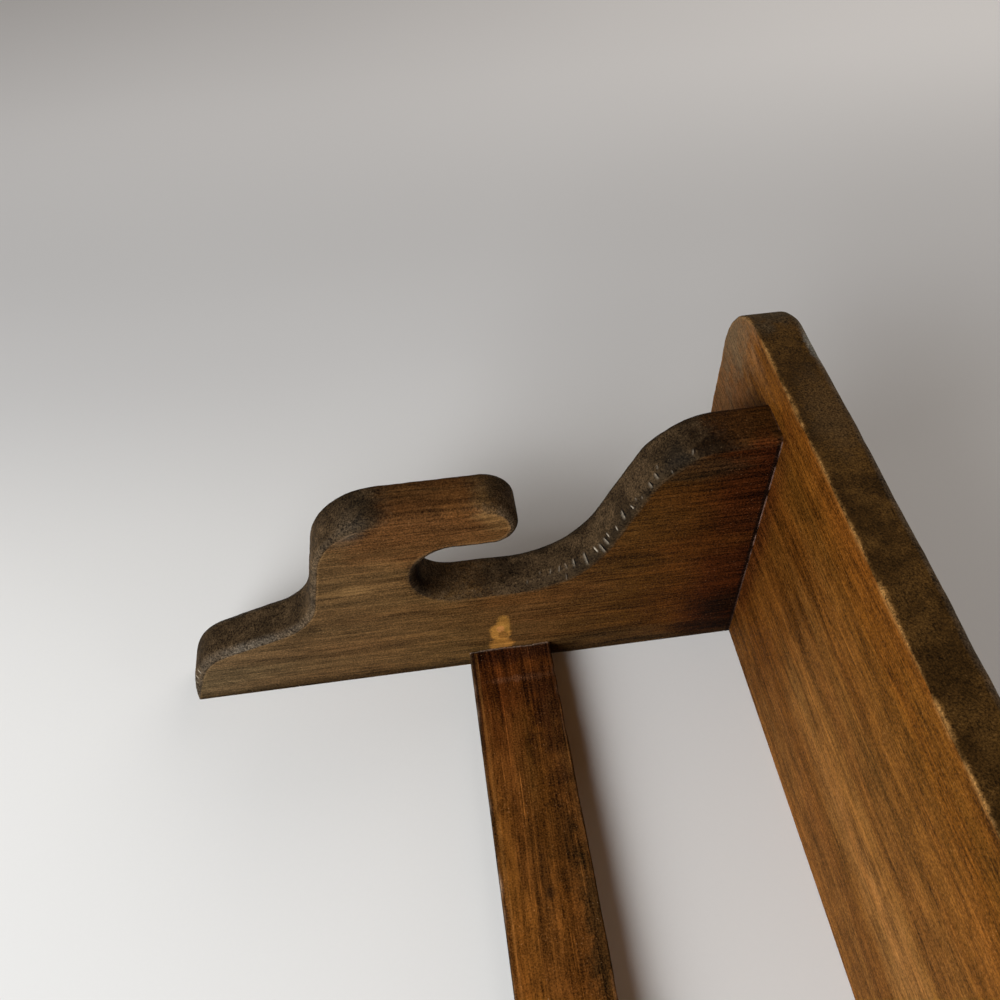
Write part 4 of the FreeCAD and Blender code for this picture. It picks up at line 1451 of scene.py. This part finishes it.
        none, full = np.zeros(len(share)), np.ones(len(flat))
        cut = np.concatenate([none, smooth(angle, 0.0, 0.8), full, smooth(small, 0.0, 0.6), none])
        arris, line = np.sin(small * 2) * 0.6 + 0.4, smooth(share, 0.8, 1.0)[::-1]
        crest = np.concatenate([none, 0 * angle, 0 * full, arris, line])
        # Painted sheen on the top round.
        scuffed = np.concatenate([none, 0.25 * np.sin(2 * angle), 0 * full, 0 * small, none])
        torn, chip = self._dents(travel, height, inset)
        wave = self.wander * ripple(travel, self.WANDER_SEED, *self.WANDER_WAVES) * ends
        lift = wave[:, None] * cut - self.dent_sink * (torn + chip) * np.clip(cut + crest, 0.0, 1.0)
        plan = points[:, None] + normals[:, None] * (lift - inset)[..., None]
        raised = height + self.dent_lift * torn * (height < self.low + self.lift_zone)
        marks = {"cut": cut, "crest": crest, "scuffed": scuffed, "torn": torn}
        marks = {name: np.broadcast_to(values, inset.shape) for name, values in marks.items()}
        return np.concatenate([plan, raised[..., None]], axis=-1), marks

    def _dents(
        self, travel: np.ndarray, height: np.ndarray, inset: np.ndarray
    ) -> tuple[np.ndarray, np.ndarray]:
        """Dents along the lower arris and a torn flake at the top one: bells along the path and up the edge.

        Args:
            travel: distance along the outline.
            height: heights of the grid.
            inset: how far its points lie inside the outline.

        Returns:
            Depths of the dents and of the flake, as shares.
        """
        draw = np.random.default_rng(self.DENT_SEED)
        spots = draw.uniform(0.02, 0.98, self.DENTS) * travel[-1]
        lengths = draw.uniform(0.5, 1.3, self.DENTS) * MM
        tall = draw.uniform(0.25, 0.5, self.DENTS) * MM
        depths = draw.uniform(0.15, 0.55, self.DENTS)
        ahead = (travel[:, None, None] - spots) / lengths
        above = (height[..., None] - self.low) / tall
        dents = (np.exp(-(ahead**2) - above**2) * depths).max(axis=-1)
        dents = dents * (height < self.high - self.dent_free) * bell(inset, self.dent_inset, 4)
        left_end = self.depth - self.corner_radius + self.corner_radius * np.pi / 2
        back = (travel[-1] - travel[:, None] - left_end) / MM
        ragged = self.FLAKE_RAGGED * ripple(travel[:, None], self.FLAKE_SEED, *self.FLAKE_WAVES)
        flake = smooth(back, *self.FLAKE_START) * (1 - smooth(back, *self.FLAKE_END))
        under_top = (self.high - height) / MM
        foot = 1 - smooth(under_top + ragged, *self.FLAKE_FOOT)
        return np.clip(dents, 0.0, 1.0), flake * foot * smooth(under_top, *self.FLAKE_HEAD)


@dataclass
class BackRail:
    """Flat rail: a rounded section carried along X, its ends chipped where they were sawn."""

    front_round: float = 0.8 * MM
    end_zone: float = 4 * MM
    chip_depth: float = 0.5 * MM
    chip_sink: float = 0.35 * MM
    nick_sink: float = 0.4 * MM
    bow: float = 0.15 * MM
    bow_calm: float = 20 * MM
    end_reach: float = 0.9 * MM
    rim_reach: float = 0.6 * MM
    arris_reach: float = 0.7 * MM
    cap_inset: float = 2.2 * MM
    step: float = 0.8 * MM
    fine_step: float = 0.25 * MM
    back_step: float = 3 * MM
    long_step: float = 1.5 * MM

    END_STEPS = 12
    LEFT_SEED, RIGHT_SEED, BOW_SEED = 61, 62, 63
    JAG_WAVES, BOW_WAVES = (23 * MM, 1.7 * MM, 12), (260 * MM, 20 * MM)
    FRONT_PART = (0.55, 0.98)
    NICKS, NICK_SEED = 26, 9

    def __post_init__(self) -> None:
        """Take the size from the frame."""
        self.low, self.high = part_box("back_rail")

    def _section(self) -> tuple[np.ndarray, np.ndarray]:
        """Walk the section from the wall round the front and back.

        Returns:
            Closed loop of points, and their outer normals.
        """
        low, high, radius = self.low, self.high, self.front_round
        walk = Trail(self.step)
        walk.line((high.y, low.z), (low.y + radius, low.z))
        walk.arc((low.y + radius, low.z + radius), radius, 270, 180, step=self.fine_step)
        walk.line((low.y, low.z + radius), (low.y, high.z - radius))
        walk.arc((low.y + radius, high.z - radius), radius, 180, 90, step=self.fine_step)
        walk.line((low.y + radius, high.z), (high.y, high.z))
        walk.line((high.y, high.z), (high.y, low.z), step=self.back_step)
        return np.concatenate(walk.points), np.concatenate(walk.normals)

    def build(self) -> bpy.types.Object:
        """Make the rail: section points are set in along their normals by nicks, and at the ends by chips.

        Returns:
            The piece.
        """
        skin = Skin()
        section, normals = self._section()
        half = self.high.x
        fine = np.linspace(0.0, self.end_zone, self.END_STEPS)
        coarse = np.arange(self.end_zone + self.long_step, half - self.long_step / 2, self.long_step)
        from_end = np.concatenate([fine, coarse])
        x = np.concatenate([from_end - half, (half - from_end)[::-1]])
        distance = half - np.abs(x)

        front = smooth(-section[:, 0], *(share * -self.low.y for share in self.FRONT_PART))
        spread = np.cumsum(np.linalg.norm(np.diff(section, axis=0, prepend=section[:1]), axis=1))
        seeds = (self.LEFT_SEED, self.RIGHT_SEED)
        left, right = (ripple(spread, seed, *self.JAG_WAVES) * 0.6 + 0.15 for seed in seeds)
        jag = np.clip(np.where(x[:, None] < 0, left, right), 0.0, 1.0) * front
        near_end = bell(distance, self.end_reach)[:, None]
        near_side = np.minimum(section[:, 1] - self.low.z, self.high.z - section[:, 1])
        arris = bell(near_side, self.arris_reach) * front
        nick = self._nicks(x, section[:, 1]) * arris
        middle = smooth(distance, 0.0, self.bow_calm)[:, None]
        bow = self.bow * ripple(x, self.BOW_SEED, *self.BOW_WAVES)[:, None] * middle * front
        sink = self.chip_sink * jag * near_end + self.nick_sink * nick - bow
        plane = section[None] - normals[None] * sink[..., None]
        along = x[:, None] - np.sign(x)[:, None] * self.chip_depth * jag * near_end
        grid = np.concatenate([along[..., None], plane], axis=-1)
        rim = bell(distance, self.rim_reach)[:, None] * front
        torn = np.clip(rim * (0.5 + 0.5 * jag) + nick * 0.5, 0.0, 1.0)
        crest = np.clip(arris * 0.8 + near_end * front * 0.5, 0.0, 1.0)
        sides = 1 - smooth(np.abs(normals[:, 0]), 0.2, 0.8)
        marks = {"cut": np.broadcast_to(sides * 0.9, torn.shape), "crest": crest, "torn": torn}
        skin.grid(grid, marks, ring=True)
        lowest = np.array([self.low.y, self.low.z]) + self.cap_inset
        highest = np.array([self.high.y, self.high.z]) - self.cap_inset
        within = np.clip(section - normals * self.cap_inset, lowest, highest)
        for row, end in ((grid[0], -half), (grid[-1], half)):
            cap = np.insert(within, 0, end, axis=1)
            skin.grid(np.stack([row, cap]), {"cut": np.ones((2, len(section)))}, ring=True)
            skin.fill(cap, {"cut": np.ones(len(section))})
        return skin.build("flat_back_rail")

    def _nicks(self, x: np.ndarray, height: np.ndarray) -> np.ndarray:
        """Small knocks along both front arrises: bells of seeded length along X, by upper or lower side.

        Args:
            x: places along the rail.
            height: heights round the section.

        Returns:
            Depths as shares, by place and section point.
        """
        draw = np.random.default_rng(self.NICK_SEED)
        upper = height > (self.low.z + self.high.z) / 2
        bells = []
        for _ in range(2):
            spots = draw.uniform(-0.95, 0.95, self.NICKS) * self.high.x
            lengths = draw.uniform(1.5, 4.0, self.NICKS) * MM
            depths = draw.uniform(0.2, 0.9, self.NICKS)
            bells.append((bell(x[:, None] - spots, lengths) * depths).max(axis=-1))
        return np.where(upper[None], bells[0][:, None], bells[1][:, None])


@dataclass
class Plugs:
    """Wood plugs over the shelf screws: turned discs with an eased rim, sanded all but flush."""

    ease: float = 0.4 * MM
    proud: float = 0.06 * MM

    EASE_STEPS, CROWN_STEPS = 5, 6

    def build(self) -> list[bpy.types.Object]:
        """Make the four plugs: a profile of reach and level, turned about the axis.

        Returns:
            The pieces.
        """
        made = []
        for node in sorted(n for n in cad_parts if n.startswith("shelf_plug")):
            low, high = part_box(node)
            radius = (high.x - low.x) / 2
            centre = ((low.x + high.x) / 2, (low.y + high.y) / 2)
            angle = np.linspace(0.0, np.pi / 2, self.EASE_STEPS)
            crown = np.linspace(0.0, radius - self.ease, self.CROWN_STEPS)[-2::-1]
            rim, rise = radius - self.ease, self.proud * (1 - (crown / radius) ** 2)
            reach = np.concatenate([[0.0, radius], rim + self.ease * np.cos(angle), crown])
            eased = high.z - self.ease + self.ease * np.sin(angle)
            level = np.concatenate([[low.z, low.z], eased, high.z + rise])
            loops = [circle((*centre, z), r, 0, 1, BORE_STEPS) for r, z in zip(reach, level)]
            skin = Skin()
            skin.grid(np.stack(loops), ring=True)
            made.append(skin.build(f"{node}_face"))
        return made


# Scene


@dataclass
class Stage:
    """Pale table top on the wall plane, seen only from the room, with soft lamps round it."""

    gap: float = 0.4 * MM
    size: float = 12.0
    pale: Colour = (0.82, 0.82, 0.81)
    # The next three colours paint light and shade on the table: a darker middle band of painted shadow, a
    # lighter far end of painted light, and painted shade near the key lamp against its pool of light.
    middle: Colour = (0.69, 0.69, 0.69)
    far: Colour = (0.89, 0.89, 0.89)
    near_lamp: Colour = (0.08, 0.08, 0.08)
    unlit: Colour = (0.495, 0.5, 0.505)

    WHITE = (1.0, 1.0, 1.0)
    KEY_PLACE = (0.45, -0.40, -0.78)
    LAMPS = (
        ("key", KEY_PLACE, (-0.15, -0.03, -0.05), 0.75, 22.5, (0.975, 0.99, 1.0)),
        ("upper", (-0.95, -0.75, 0.6), (-0.6, -0.03, 0.1), 0.8, 3.3, (1.0, 0.94, 0.88)),
        ("top", (0.35, -0.45, 1.3), (0.0, -0.07, 0.06), 0.8, 8.0, WHITE),
        ("rear", (0.5, 1.6, 0.9), (0.0, 0.0, -0.05), 1.2, 26.0, WHITE),
    )
    PALE_TO_MIDDLE, MIDDLE_TO_FAR = (-0.30, -0.47), (-0.53, -0.80)
    UNDER_LAMP, PAST_LAMP = (1.0, 0.4), (-0.54, -0.84)

    SKY, SKY_SEEN = (1.0, 0.68, 0.46), (0.98, 0.99, 1.0)
    SKY_LIGHT, SKY_EXTRA_SEEN = 0.055, 0.45

    def build(self) -> None:
        """Make the table top, the lamps and the world."""
        self._table()
        for lamp in self.LAMPS:
            self._lamp(*lamp)
        self._world()

    def _table(self) -> None:
        """Flat sheet just behind the wall plane; rays from behind and very short ones pass through it."""
        half = self.size / 2
        mesh = bpy.data.meshes.new("table_top")
        ends = ((-half, -half), (half, -half), (half, half), (-half, half))
        mesh.from_pydata([(x, self.gap, z) for x, z in ends], [], [(0, 1, 2, 3)])
        table = bpy.data.objects.new("table_top", mesh)
        bpy.context.scene.collection.objects.link(table)
        material, graph = new_material("pale_table")
        where = graph.place()
        x, _, z = graph.split(where)
        grain = graph.noise(where, 700.0, 3.0, 0.6)
        cloud = graph.noise(where, 5.0, 2.0)
        # Painted shadow in a middle band, painted light far off, painted shade close to the key lamp.
        tone = graph.mix(graph.band(x, *self.PALE_TO_MIDDLE), self.pale, self.middle)
        tone = graph.mix(graph.band(x, *self.MIDDLE_TO_FAR), tone, self.far)
        from_lamp = graph.length(graph.vector("SUBTRACT", where, self.KEY_PLACE))
        tone = graph.mix(graph.band(from_lamp, *self.UNDER_LAMP), tone, self.near_lamp)
        tone = graph.mix(grain * 0.05 + cloud * 0.06, tone, (0.5, 0.5, 0.5))
        paper = graph.node("ShaderNodeBsdfDiffuse", None, {"Color": tone})
        backdrop = graph.node("ShaderNodeEmission", None, {"Color": (*self.unlit, 1.0)})
        camera = graph.node("ShaderNodeLightPath", output="Is Camera Ray")
        behind_lamp = graph.band(z * 0.77 - x * 0.64, *self.PAST_LAMP) * camera
        paper = graph.node("ShaderNodeMixShader", None, {0: behind_lamp, 1: paper, 2: backdrop})
        clear = graph.node("ShaderNodeBsdfTransparent")
        behind = graph.node("ShaderNodeNewGeometry", output="Backfacing")
        travelled = graph.node("ShaderNodeLightPath", output="Ray Length")
        short = graph.node("ShaderNodeMath", {"operation": "LESS_THAN"}, {0: travelled, 1: 3 * self.gap})
        seen = graph.node("ShaderNodeMixShader", None, {0: behind.maximum(short), 1: paper, 2: clear})
        graph.node("ShaderNodeOutputMaterial", None, {"Surface": seen})
        mesh.materials.append(material)

    @staticmethod
    def _lamp(name: str, place: Point, target: Point, size: float, watts: float, colour: Colour) -> None:
        """Hang a square soft lamp and aim it.

        Args:
            name: which lamp.
            place: where it hangs.
            target: what it points at.
            size: length of its side.
            watts: its power.
            colour: colour of its light.
        """
        light = bpy.data.lights.new(f"{name}_lamp", "AREA")
        light.shape = "SQUARE"
        light.size = size
        light.energy = watts
        light.color = colour
        lamp = bpy.data.objects.new(f"{name}_lamp", light)
        lamp.location = place
        lamp.rotation_euler = (Vector(target) - Vector(place)).to_track_quat("-Z", "Y").to_euler()
        bpy.context.scene.collection.objects.link(lamp)

    def _world(self) -> None:
        """Even surroundings: seen as pale grey, much weaker and warmer as light."""
        world = bpy.data.worlds.new("pale_room")
        bpy.context.scene.world = world
        world.use_nodes = True
        graph = Graph(world.node_tree)
        path = graph.node("ShaderNodeLightPath").socket.node.outputs
        camera, glossy = Term(graph, path["Is Camera Ray"]), Term(graph, path["Is Glossy Ray"])
        seen = camera.maximum(glossy).maximum(Term(graph, path["Is Transmission Ray"]))
        strength = seen * self.SKY_EXTRA_SEEN + self.SKY_LIGHT
        colour = graph.mix(seen, self.SKY, self.SKY_SEEN)
        sky = graph.node("ShaderNodeBackground", None, {"Color": colour, "Strength": strength})
        graph.node("ShaderNodeOutputWorld", None, {"Surface": sky})


@dataclass
class PhotoCamera:
    """Camera over the table: its place and its axes in the row frame."""

    place: Point = (-20.98 * MM, -366.76 * MM, -77.95 * MM)
    right: Point = (0.13242, 0.02802, 0.99080)
    up: Point = (-0.75426, -0.64569, 0.11906)
    back: Point = (0.64308, -0.76308, -0.06437)
    lens: float = 34.02
    sensor: float = 36.0
    nearest: float = 10 * MM

    def build(self) -> None:
        """Set up the camera."""
        data = bpy.data.cameras.new("photo_camera")
        data.lens = self.lens
        data.sensor_width = self.sensor
        data.clip_start = self.nearest
        camera = bpy.data.objects.new("photo_camera", data)
        turn = Matrix((self.right, self.up, self.back)).transposed().to_4x4()
        camera.matrix_world = Matrix.Translation(self.place) @ turn
        bpy.context.scene.collection.objects.link(camera)
        bpy.context.scene.camera = camera


class Finishes:
    """The finishes of the shelf's pieces."""

    ZINC = Steel("zinc_plate", (0.62, 0.60, 0.54), (0.42, 0.40, 0.35), 0.3)
    BRIGHT = Steel("bright_nail", (0.5, 0.49, 0.47), (0.24, 0.2, 0.17), 0.34)
    FOOT_TO_SHELF = ToneRun(
        lean=(0.0, 0.0, 1.0),
        stops=tones(
            (-0.190, 79, 63, 42),
            (-0.135, 76, 56, 33),
            (-0.110, 79, 57, 32),
            (-0.080, 78, 55, 28),
            (-0.045, 73, 49, 24),
            (-0.005, 65, 40, 13),
            (0.015, 63, 35, 9),
            (0.028, 50, 22, 5),
            (0.045, 37, 13, 3),
        ),
    )
    WALL_TO_FRONT = ToneRun(
        lean=(0.0, 1.0, 0.9),
        stops=tones(
            (-0.105, 94, 55, 15),
            (-0.080, 90, 53, 14),
            (-0.064, 100, 62, 22),
            (-0.057, 97, 60, 21),
            (-0.049, 106, 67, 26),
            (-0.041, 97, 61, 24),
            (-0.034, 98, 62, 25),
            (-0.029, 105, 68, 28),
            (-0.015, 110, 73, 32),
            (-0.002, 108, 71, 31),
            (0.005, 94, 59, 22),
            (0.016, 97, 61, 25),
            (0.040, 103, 67, 29),
        ),
        sway=2.5 * MM,
    )
    RAIL_HALVES = ToneRun(
        lean=(0.0, 0.0, 1.0),
        stops=tones(
            (-0.073, 104, 62, 24),
            (-0.062, 104, 62, 24),
            (-0.055, 88, 53, 19),
            (-0.049, 100, 60, 21),
            (-0.043, 94, 58, 23),
            (-0.037, 90, 58, 26),
        ),
        sway=3 * MM,
    )
    BRACKET_FACE, UNDERSIDE, BOARD_EDGE, RAIL_FRONT = 0.2375, 0.045, 0.056, -0.0106

    # Rows of patches: middle and reach along the two axes of a face in metres, screen levels, share.
    FACE_STAINS_AND_SHEEN = (
        (-0.100, -0.080, 0.022, 0.042, (80, 51, 25), 0.9),
        (-0.106, -0.068, 0.005, 0.012, (98, 62, 28), 0.35),
        (-0.104, -0.056, 0.014, 0.010, (104, 79, 46), 0.7),
        (-0.108, -0.111, 0.010, 0.012, (25, 21, 14), 0.95),
        (-0.066, -0.111, 0.003, 0.020, (112, 84, 50), 0.5),
        # Darker strip along the back edge at the wall.
        (0.000, -0.070, 0.0060, 0.300, (40, 28, 13), 0.85),
        (-0.006, -0.014, 0.009, 0.034, (52, 36, 18), 0.6),
        (-0.007, 0.036, 0.007, 0.020, (22, 9, 3), 0.9),
        (-0.068, 0.026, 0.008, 0.020, (66, 34, 8), 0.5),
        (-0.113, 0.014, 0.007, 0.022, (38, 27, 14), 0.7),
        (-0.023, 0.041, 0.009, 0.019, (22, 9, 3), 0.9),
        (-0.047, -0.040, 0.006, 0.030, (92, 58, 26), 0.4),
        # Grey painted sheen on the face by the shoulder.
        (-0.1025, -0.116, 0.007, 0.008, (104, 99, 88), 0.28, 0.5, 0.8),
    )
    DRIPS = (
        (-0.0130, -0.0583, 0.0060, 0.0062, (146, 98, 44)),
        (-0.0228, -0.0586, 0.0090, 0.0047, (152, 104, 46)),
        (-0.0282, -0.0573, 0.0070, 0.0036, (132, 94, 42)),
        (-0.0255, -0.0584, 0.0030, 0.0018, (166, 110, 58)),
        (-0.0205, -0.0574, 0.0034, 0.0024, (106, 70, 30)),
    )
    SCORCHES = (
        (-0.1230, 0.0385, 0.0020, 0.0060, (74, 30, 8), 0.4),
        (-0.1190, 0.0060, 0.0042, 0.0090, (30, 24, 17), 0.8),
        (-0.1225, 0.0200, 0.0028, 0.0130, (20, 11, 4), 0.8),
        (-0.0700, -0.0915, 0.0080, 0.0030, (30, 20, 10), 0.6),
    )
    RAIL_STAINS = (
        (0.0, -0.0675, 0.170, 0.0090, (128, 78, 28), 0.85),
        (-0.060, -0.0555, 0.065, 0.0055, (118, 72, 28), 0.7),
        (-0.240, -0.055, 0.050, 0.06, (71, 35, 11), 0.85),
        (0.240, -0.055, 0.050, 0.06, (71, 35, 11), 0.85),
        (-0.2215, -0.052, 0.0016, 0.020, (112, 78, 56), 0.25, 1.6),
        (-0.235, -0.055, 0.006, 0.06, (40, 18, 9), 0.7),
        (0.235, -0.055, 0.006, 0.06, (40, 18, 9), 0.7),
        (-0.226, -0.0715, 0.030, 0.0026, (34, 17, 9), 0.8),
        (0.0, -0.0724, 0.5, 0.0013, (40, 23, 11), 0.6),
        (0.0, -0.0700, 0.5, 0.0007, (150, 98, 46), 0.4),
    )
    RAIL_SCORCHES = (
        (-0.152, -0.0460, 0.018, 0.0060, (40, 28, 12), 0.4, 1.8, 0.5),
        (-0.117, -0.0395, 0.034, 0.0048, (40, 29, 13), 0.65, 1.8, 0.5),
        (-0.112, -0.0475, 0.012, 0.0024, (40, 27, 11), 0.2, 1.4, 0.4),
        (-0.060, -0.0405, 0.040, 0.0050, (40, 29, 13), 0.5, 1.8, 0.5),
        (0.080, -0.0460, 0.060, 0.0070, (40, 29, 13), 0.6, 1.8, 0.5),
        (-0.200, -0.0440, 0.036, 0.0070, (38, 20, 9), 0.6, 1.8, 0.5),
        (-0.137, -0.0560, 0.014, 0.0022, (42, 26, 11), 0.4, 1.8, 0.5),
        (-0.132, -0.0550, 0.0024, 0.0012, (30, 18, 8), 0.65, 0.8),
    )

    def bracket(self, side: Side) -> StainedWood:
        """Bracket: olive brown at the foot, golden in the neck, dark red by the shelf, charcoal edges.

        Args:
            side: end of the shelf; the patches of the right one lie a little aside.

        Returns:
            The finish.
        """
        face = side.value * self.BRACKET_FACE
        near = {Side.LEFT: 0.0, Side.RIGHT: 4 * MM}[side]
        # These face patches include a grey painted sheen by the shoulder.
        stains = [(y - near, z + near, *rest) for y, z, *rest in self.FACE_STAINS_AND_SHEEN]
        drips = [(y, z + near, *rest, 0.85, 0.7, 0.2) for y, z, *rest in self.DRIPS]
        scorches = [(y - near, z, *rest) for y, z, *rest in self.SCORCHES]
        past_face = face + side.value * 9 * MM
        brow = Patch((past_face, -0.1245, 0.036), (0.016, 0.004, 0.014), tint(66, 40, 15), 0.8)
        # The shoulder patch is a grey painted sheen on the round.
        shoulder = Patch((face, -0.1060, -0.1140), (0.008, 0.0055, 0.0070), tint(74, 70, 62), 0.26, 0.4, 0.8)
        slot = Patch((face, -0.0690, -0.0895), (0.012, 0.0120, 0.0036), tint(20, 14, 8), 0.8, 0.3, 0.4)
        return StainedWood(
            name=f"stained_{side.word}_bracket",
            grain=Grain.ALONG_Z,
            pith=(0.31, 0.13, 0.0),
            tone=self.FOOT_TO_SHELF,
            edge=tint(53, 41, 27),
            crisp=1.12,
            worn=tint(140, 110, 74),
            wear_share=0.3,
            patches=patches_on(0, face, 0.04, stains) + patches_on(0, face, 0.008, drips),
            stains_and_sheens=(brow, shoulder, slot, *patches_on(0, face + side.value * 2 * MM, 0.008, scorches)),
            # Painted shadow of the gap under the shelf, and the bead of dried adhesive.
            joint_shadow_and_glue=JointShadowAndGlue(self.UNDERSIDE, tint(16, 7, 4), tint(132, 102, 88)),
        )

    def shelf(self) -> StainedWood:
        """Plank: golden brown with broad flat-sawn bands near the wall, dark olive edge.

        Returns:
            The finish.
        """
        under, edge = self.UNDERSIDE, self.BOARD_EDGE
        # Darker strip on the underside along each bracket, where the two meet.
        beside = [(end * 0.2362, -0.062, 0.009, 0.075, (54, 23, 6), 0.75, 0.5, 0.7) for end in (-1, 1)]
        return StainedWood(
            name="stained_plank",
            grain=Grain.ALONG_X,
            pith=(0.0, 0.018, 0.0),
            tone=self.WALL_TO_FRONT,
            edge=tint(65, 45, 19),
            speckle=0.85,
            crisp=1.2,
            worn=tint(176, 128, 72),
            bare=tint(168, 124, 74),
            ring_pitch=3.6 * MM,
            ring_share=0.2,
            dash_share=0.26,
            smear_share=0.22,
            smear_per_metre=(170.0, 170.0, 40.0),
            blotch_share=0.4,
            wear_share=0.4,
            patches=(
                Patch((-0.305, -0.085, under), (0.042, 0.080, 0.03), tint(108, 72, 41), 0.95),
                Patch((-0.225, -0.060, under), (0.045, 0.090, 0.03), tint(73, 40, 7), 0.8),
                Patch((0.0, -0.052, under), (0.140, 0.017, 0.01), tint(126, 87, 44), 0.8),
                Patch((0.305, -0.070, under), (0.030, 0.060, 0.03), tint(104, 74, 50), 0.6),
                *patches_on(2, under, 0.01, beside),
            ),
            stains_and_sheens=(
                Patch((-0.300, -0.125, edge), (0.024, 0.040, 0.02), tint(88, 74, 54), 0.7),
                Patch((-0.232, -0.140, edge), (0.022, 0.010, 0.008), tint(80, 60, 36), 0.6),
                # Grey painted highlight on the chipped top arris.
                Patch((-0.268, -0.1385, 0.0625), (0.012, 0.004, 0.0025), tint(126, 122, 112), 0.7),
            ),
        )

    def rail(self) -> StainedWood:
        """Rail: dark red at its ends, golden on its lower half, black-brown on its upper, with a pin knot.

        Returns:
            The finish.
        """
        return StainedWood(
            name="stained_rail",
            grain=Grain.ALONG_X,
            pith=(0.07, 0.06, 0.0),
            tone=self.RAIL_HALVES,
            edge=tint(30, 18, 9),
            bare=tint(178, 152, 130),
            streak_share=0.9,
            dash_share=0.38,
            blotch_share=0.55,
            ring_pitch=4.8 * MM,
            ring_share=0.15,
            smear_per_metre=(150.0, 150.0, 34.0),
            line_share=2.2,
            fleck_share=0.35,
            crisp=1.4,
            fleck=tint(186, 160, 130),
            patches=patches_on(1, self.RAIL_FRONT, 0.02, self.RAIL_STAINS),
            stains_and_sheens=patches_on(1, self.RAIL_FRONT, 0.01, self.RAIL_SCORCHES),
        )

    def plug(self) -> StainedWood:
        """Plug: a little darker than the plank, its grain up.

        Returns:
            The finish.
        """
        return StainedWood(
            name="stained_plug",
            grain=Grain.ALONG_Z,
            pith=(0.05, 0.02, 0.0),
            tone=ToneRun((1.0, 0.0, 0.0), tones((-0.3, 68, 41, 16), (0.3, 72, 44, 17))),
            edge=tint(58, 40, 20),
            ring_pitch=1.6 * MM,
        )


@dataclass
class Fasteners:
    """Screws, nails and hanger plates: the solids themselves, with steel finishes."""

    finishes: Finishes

    def dress(self) -> None:
        """Give each solid of steel its finish."""
        zinc, bright = self.finishes.ZINC.material(), self.finishes.BRIGHT.material()
        steels = {"rail_nail": bright, "hanger": zinc, "shelf_screw": zinc}
        for name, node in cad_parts.items():
            for start, steel in steels.items():
                if name.startswith(start):
                    node.data.materials.clear()
                    node.data.materials.append(steel)
                    LOG.info("%s: solid kept, %s", name, steel.name)


def main() -> None:
    """Build the pieces in order, dress them and set the scene."""
    logging.basicConfig(level=logging.INFO, format="%(message)s")
    bpy.context.scene.view_settings.view_transform = "Standard"
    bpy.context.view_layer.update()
    finishes = Finishes()
    for side in Side:
        bracket_wood = finishes.bracket(side).material()
        settle(Bracket(side).build(), bracket_wood, "bracket_wood", f"{side.word}_bracket")
    settle(ShelfBoard().build(), finishes.shelf().material(), "shelf_wood", "shelf_board")
    settle(BackRail().build(), finishes.rail().material(), "rail_wood", "back_rail")
    plug_wood = finishes.plug().material()
    for plug in Plugs().build():
        settle(plug, plug_wood, "plug_wood", plug.name.removesuffix("_face"))
    Fasteners(finishes).dress()
    Stage().build()
    PhotoCamera().build()


if __name__ == "__main__":
    main()
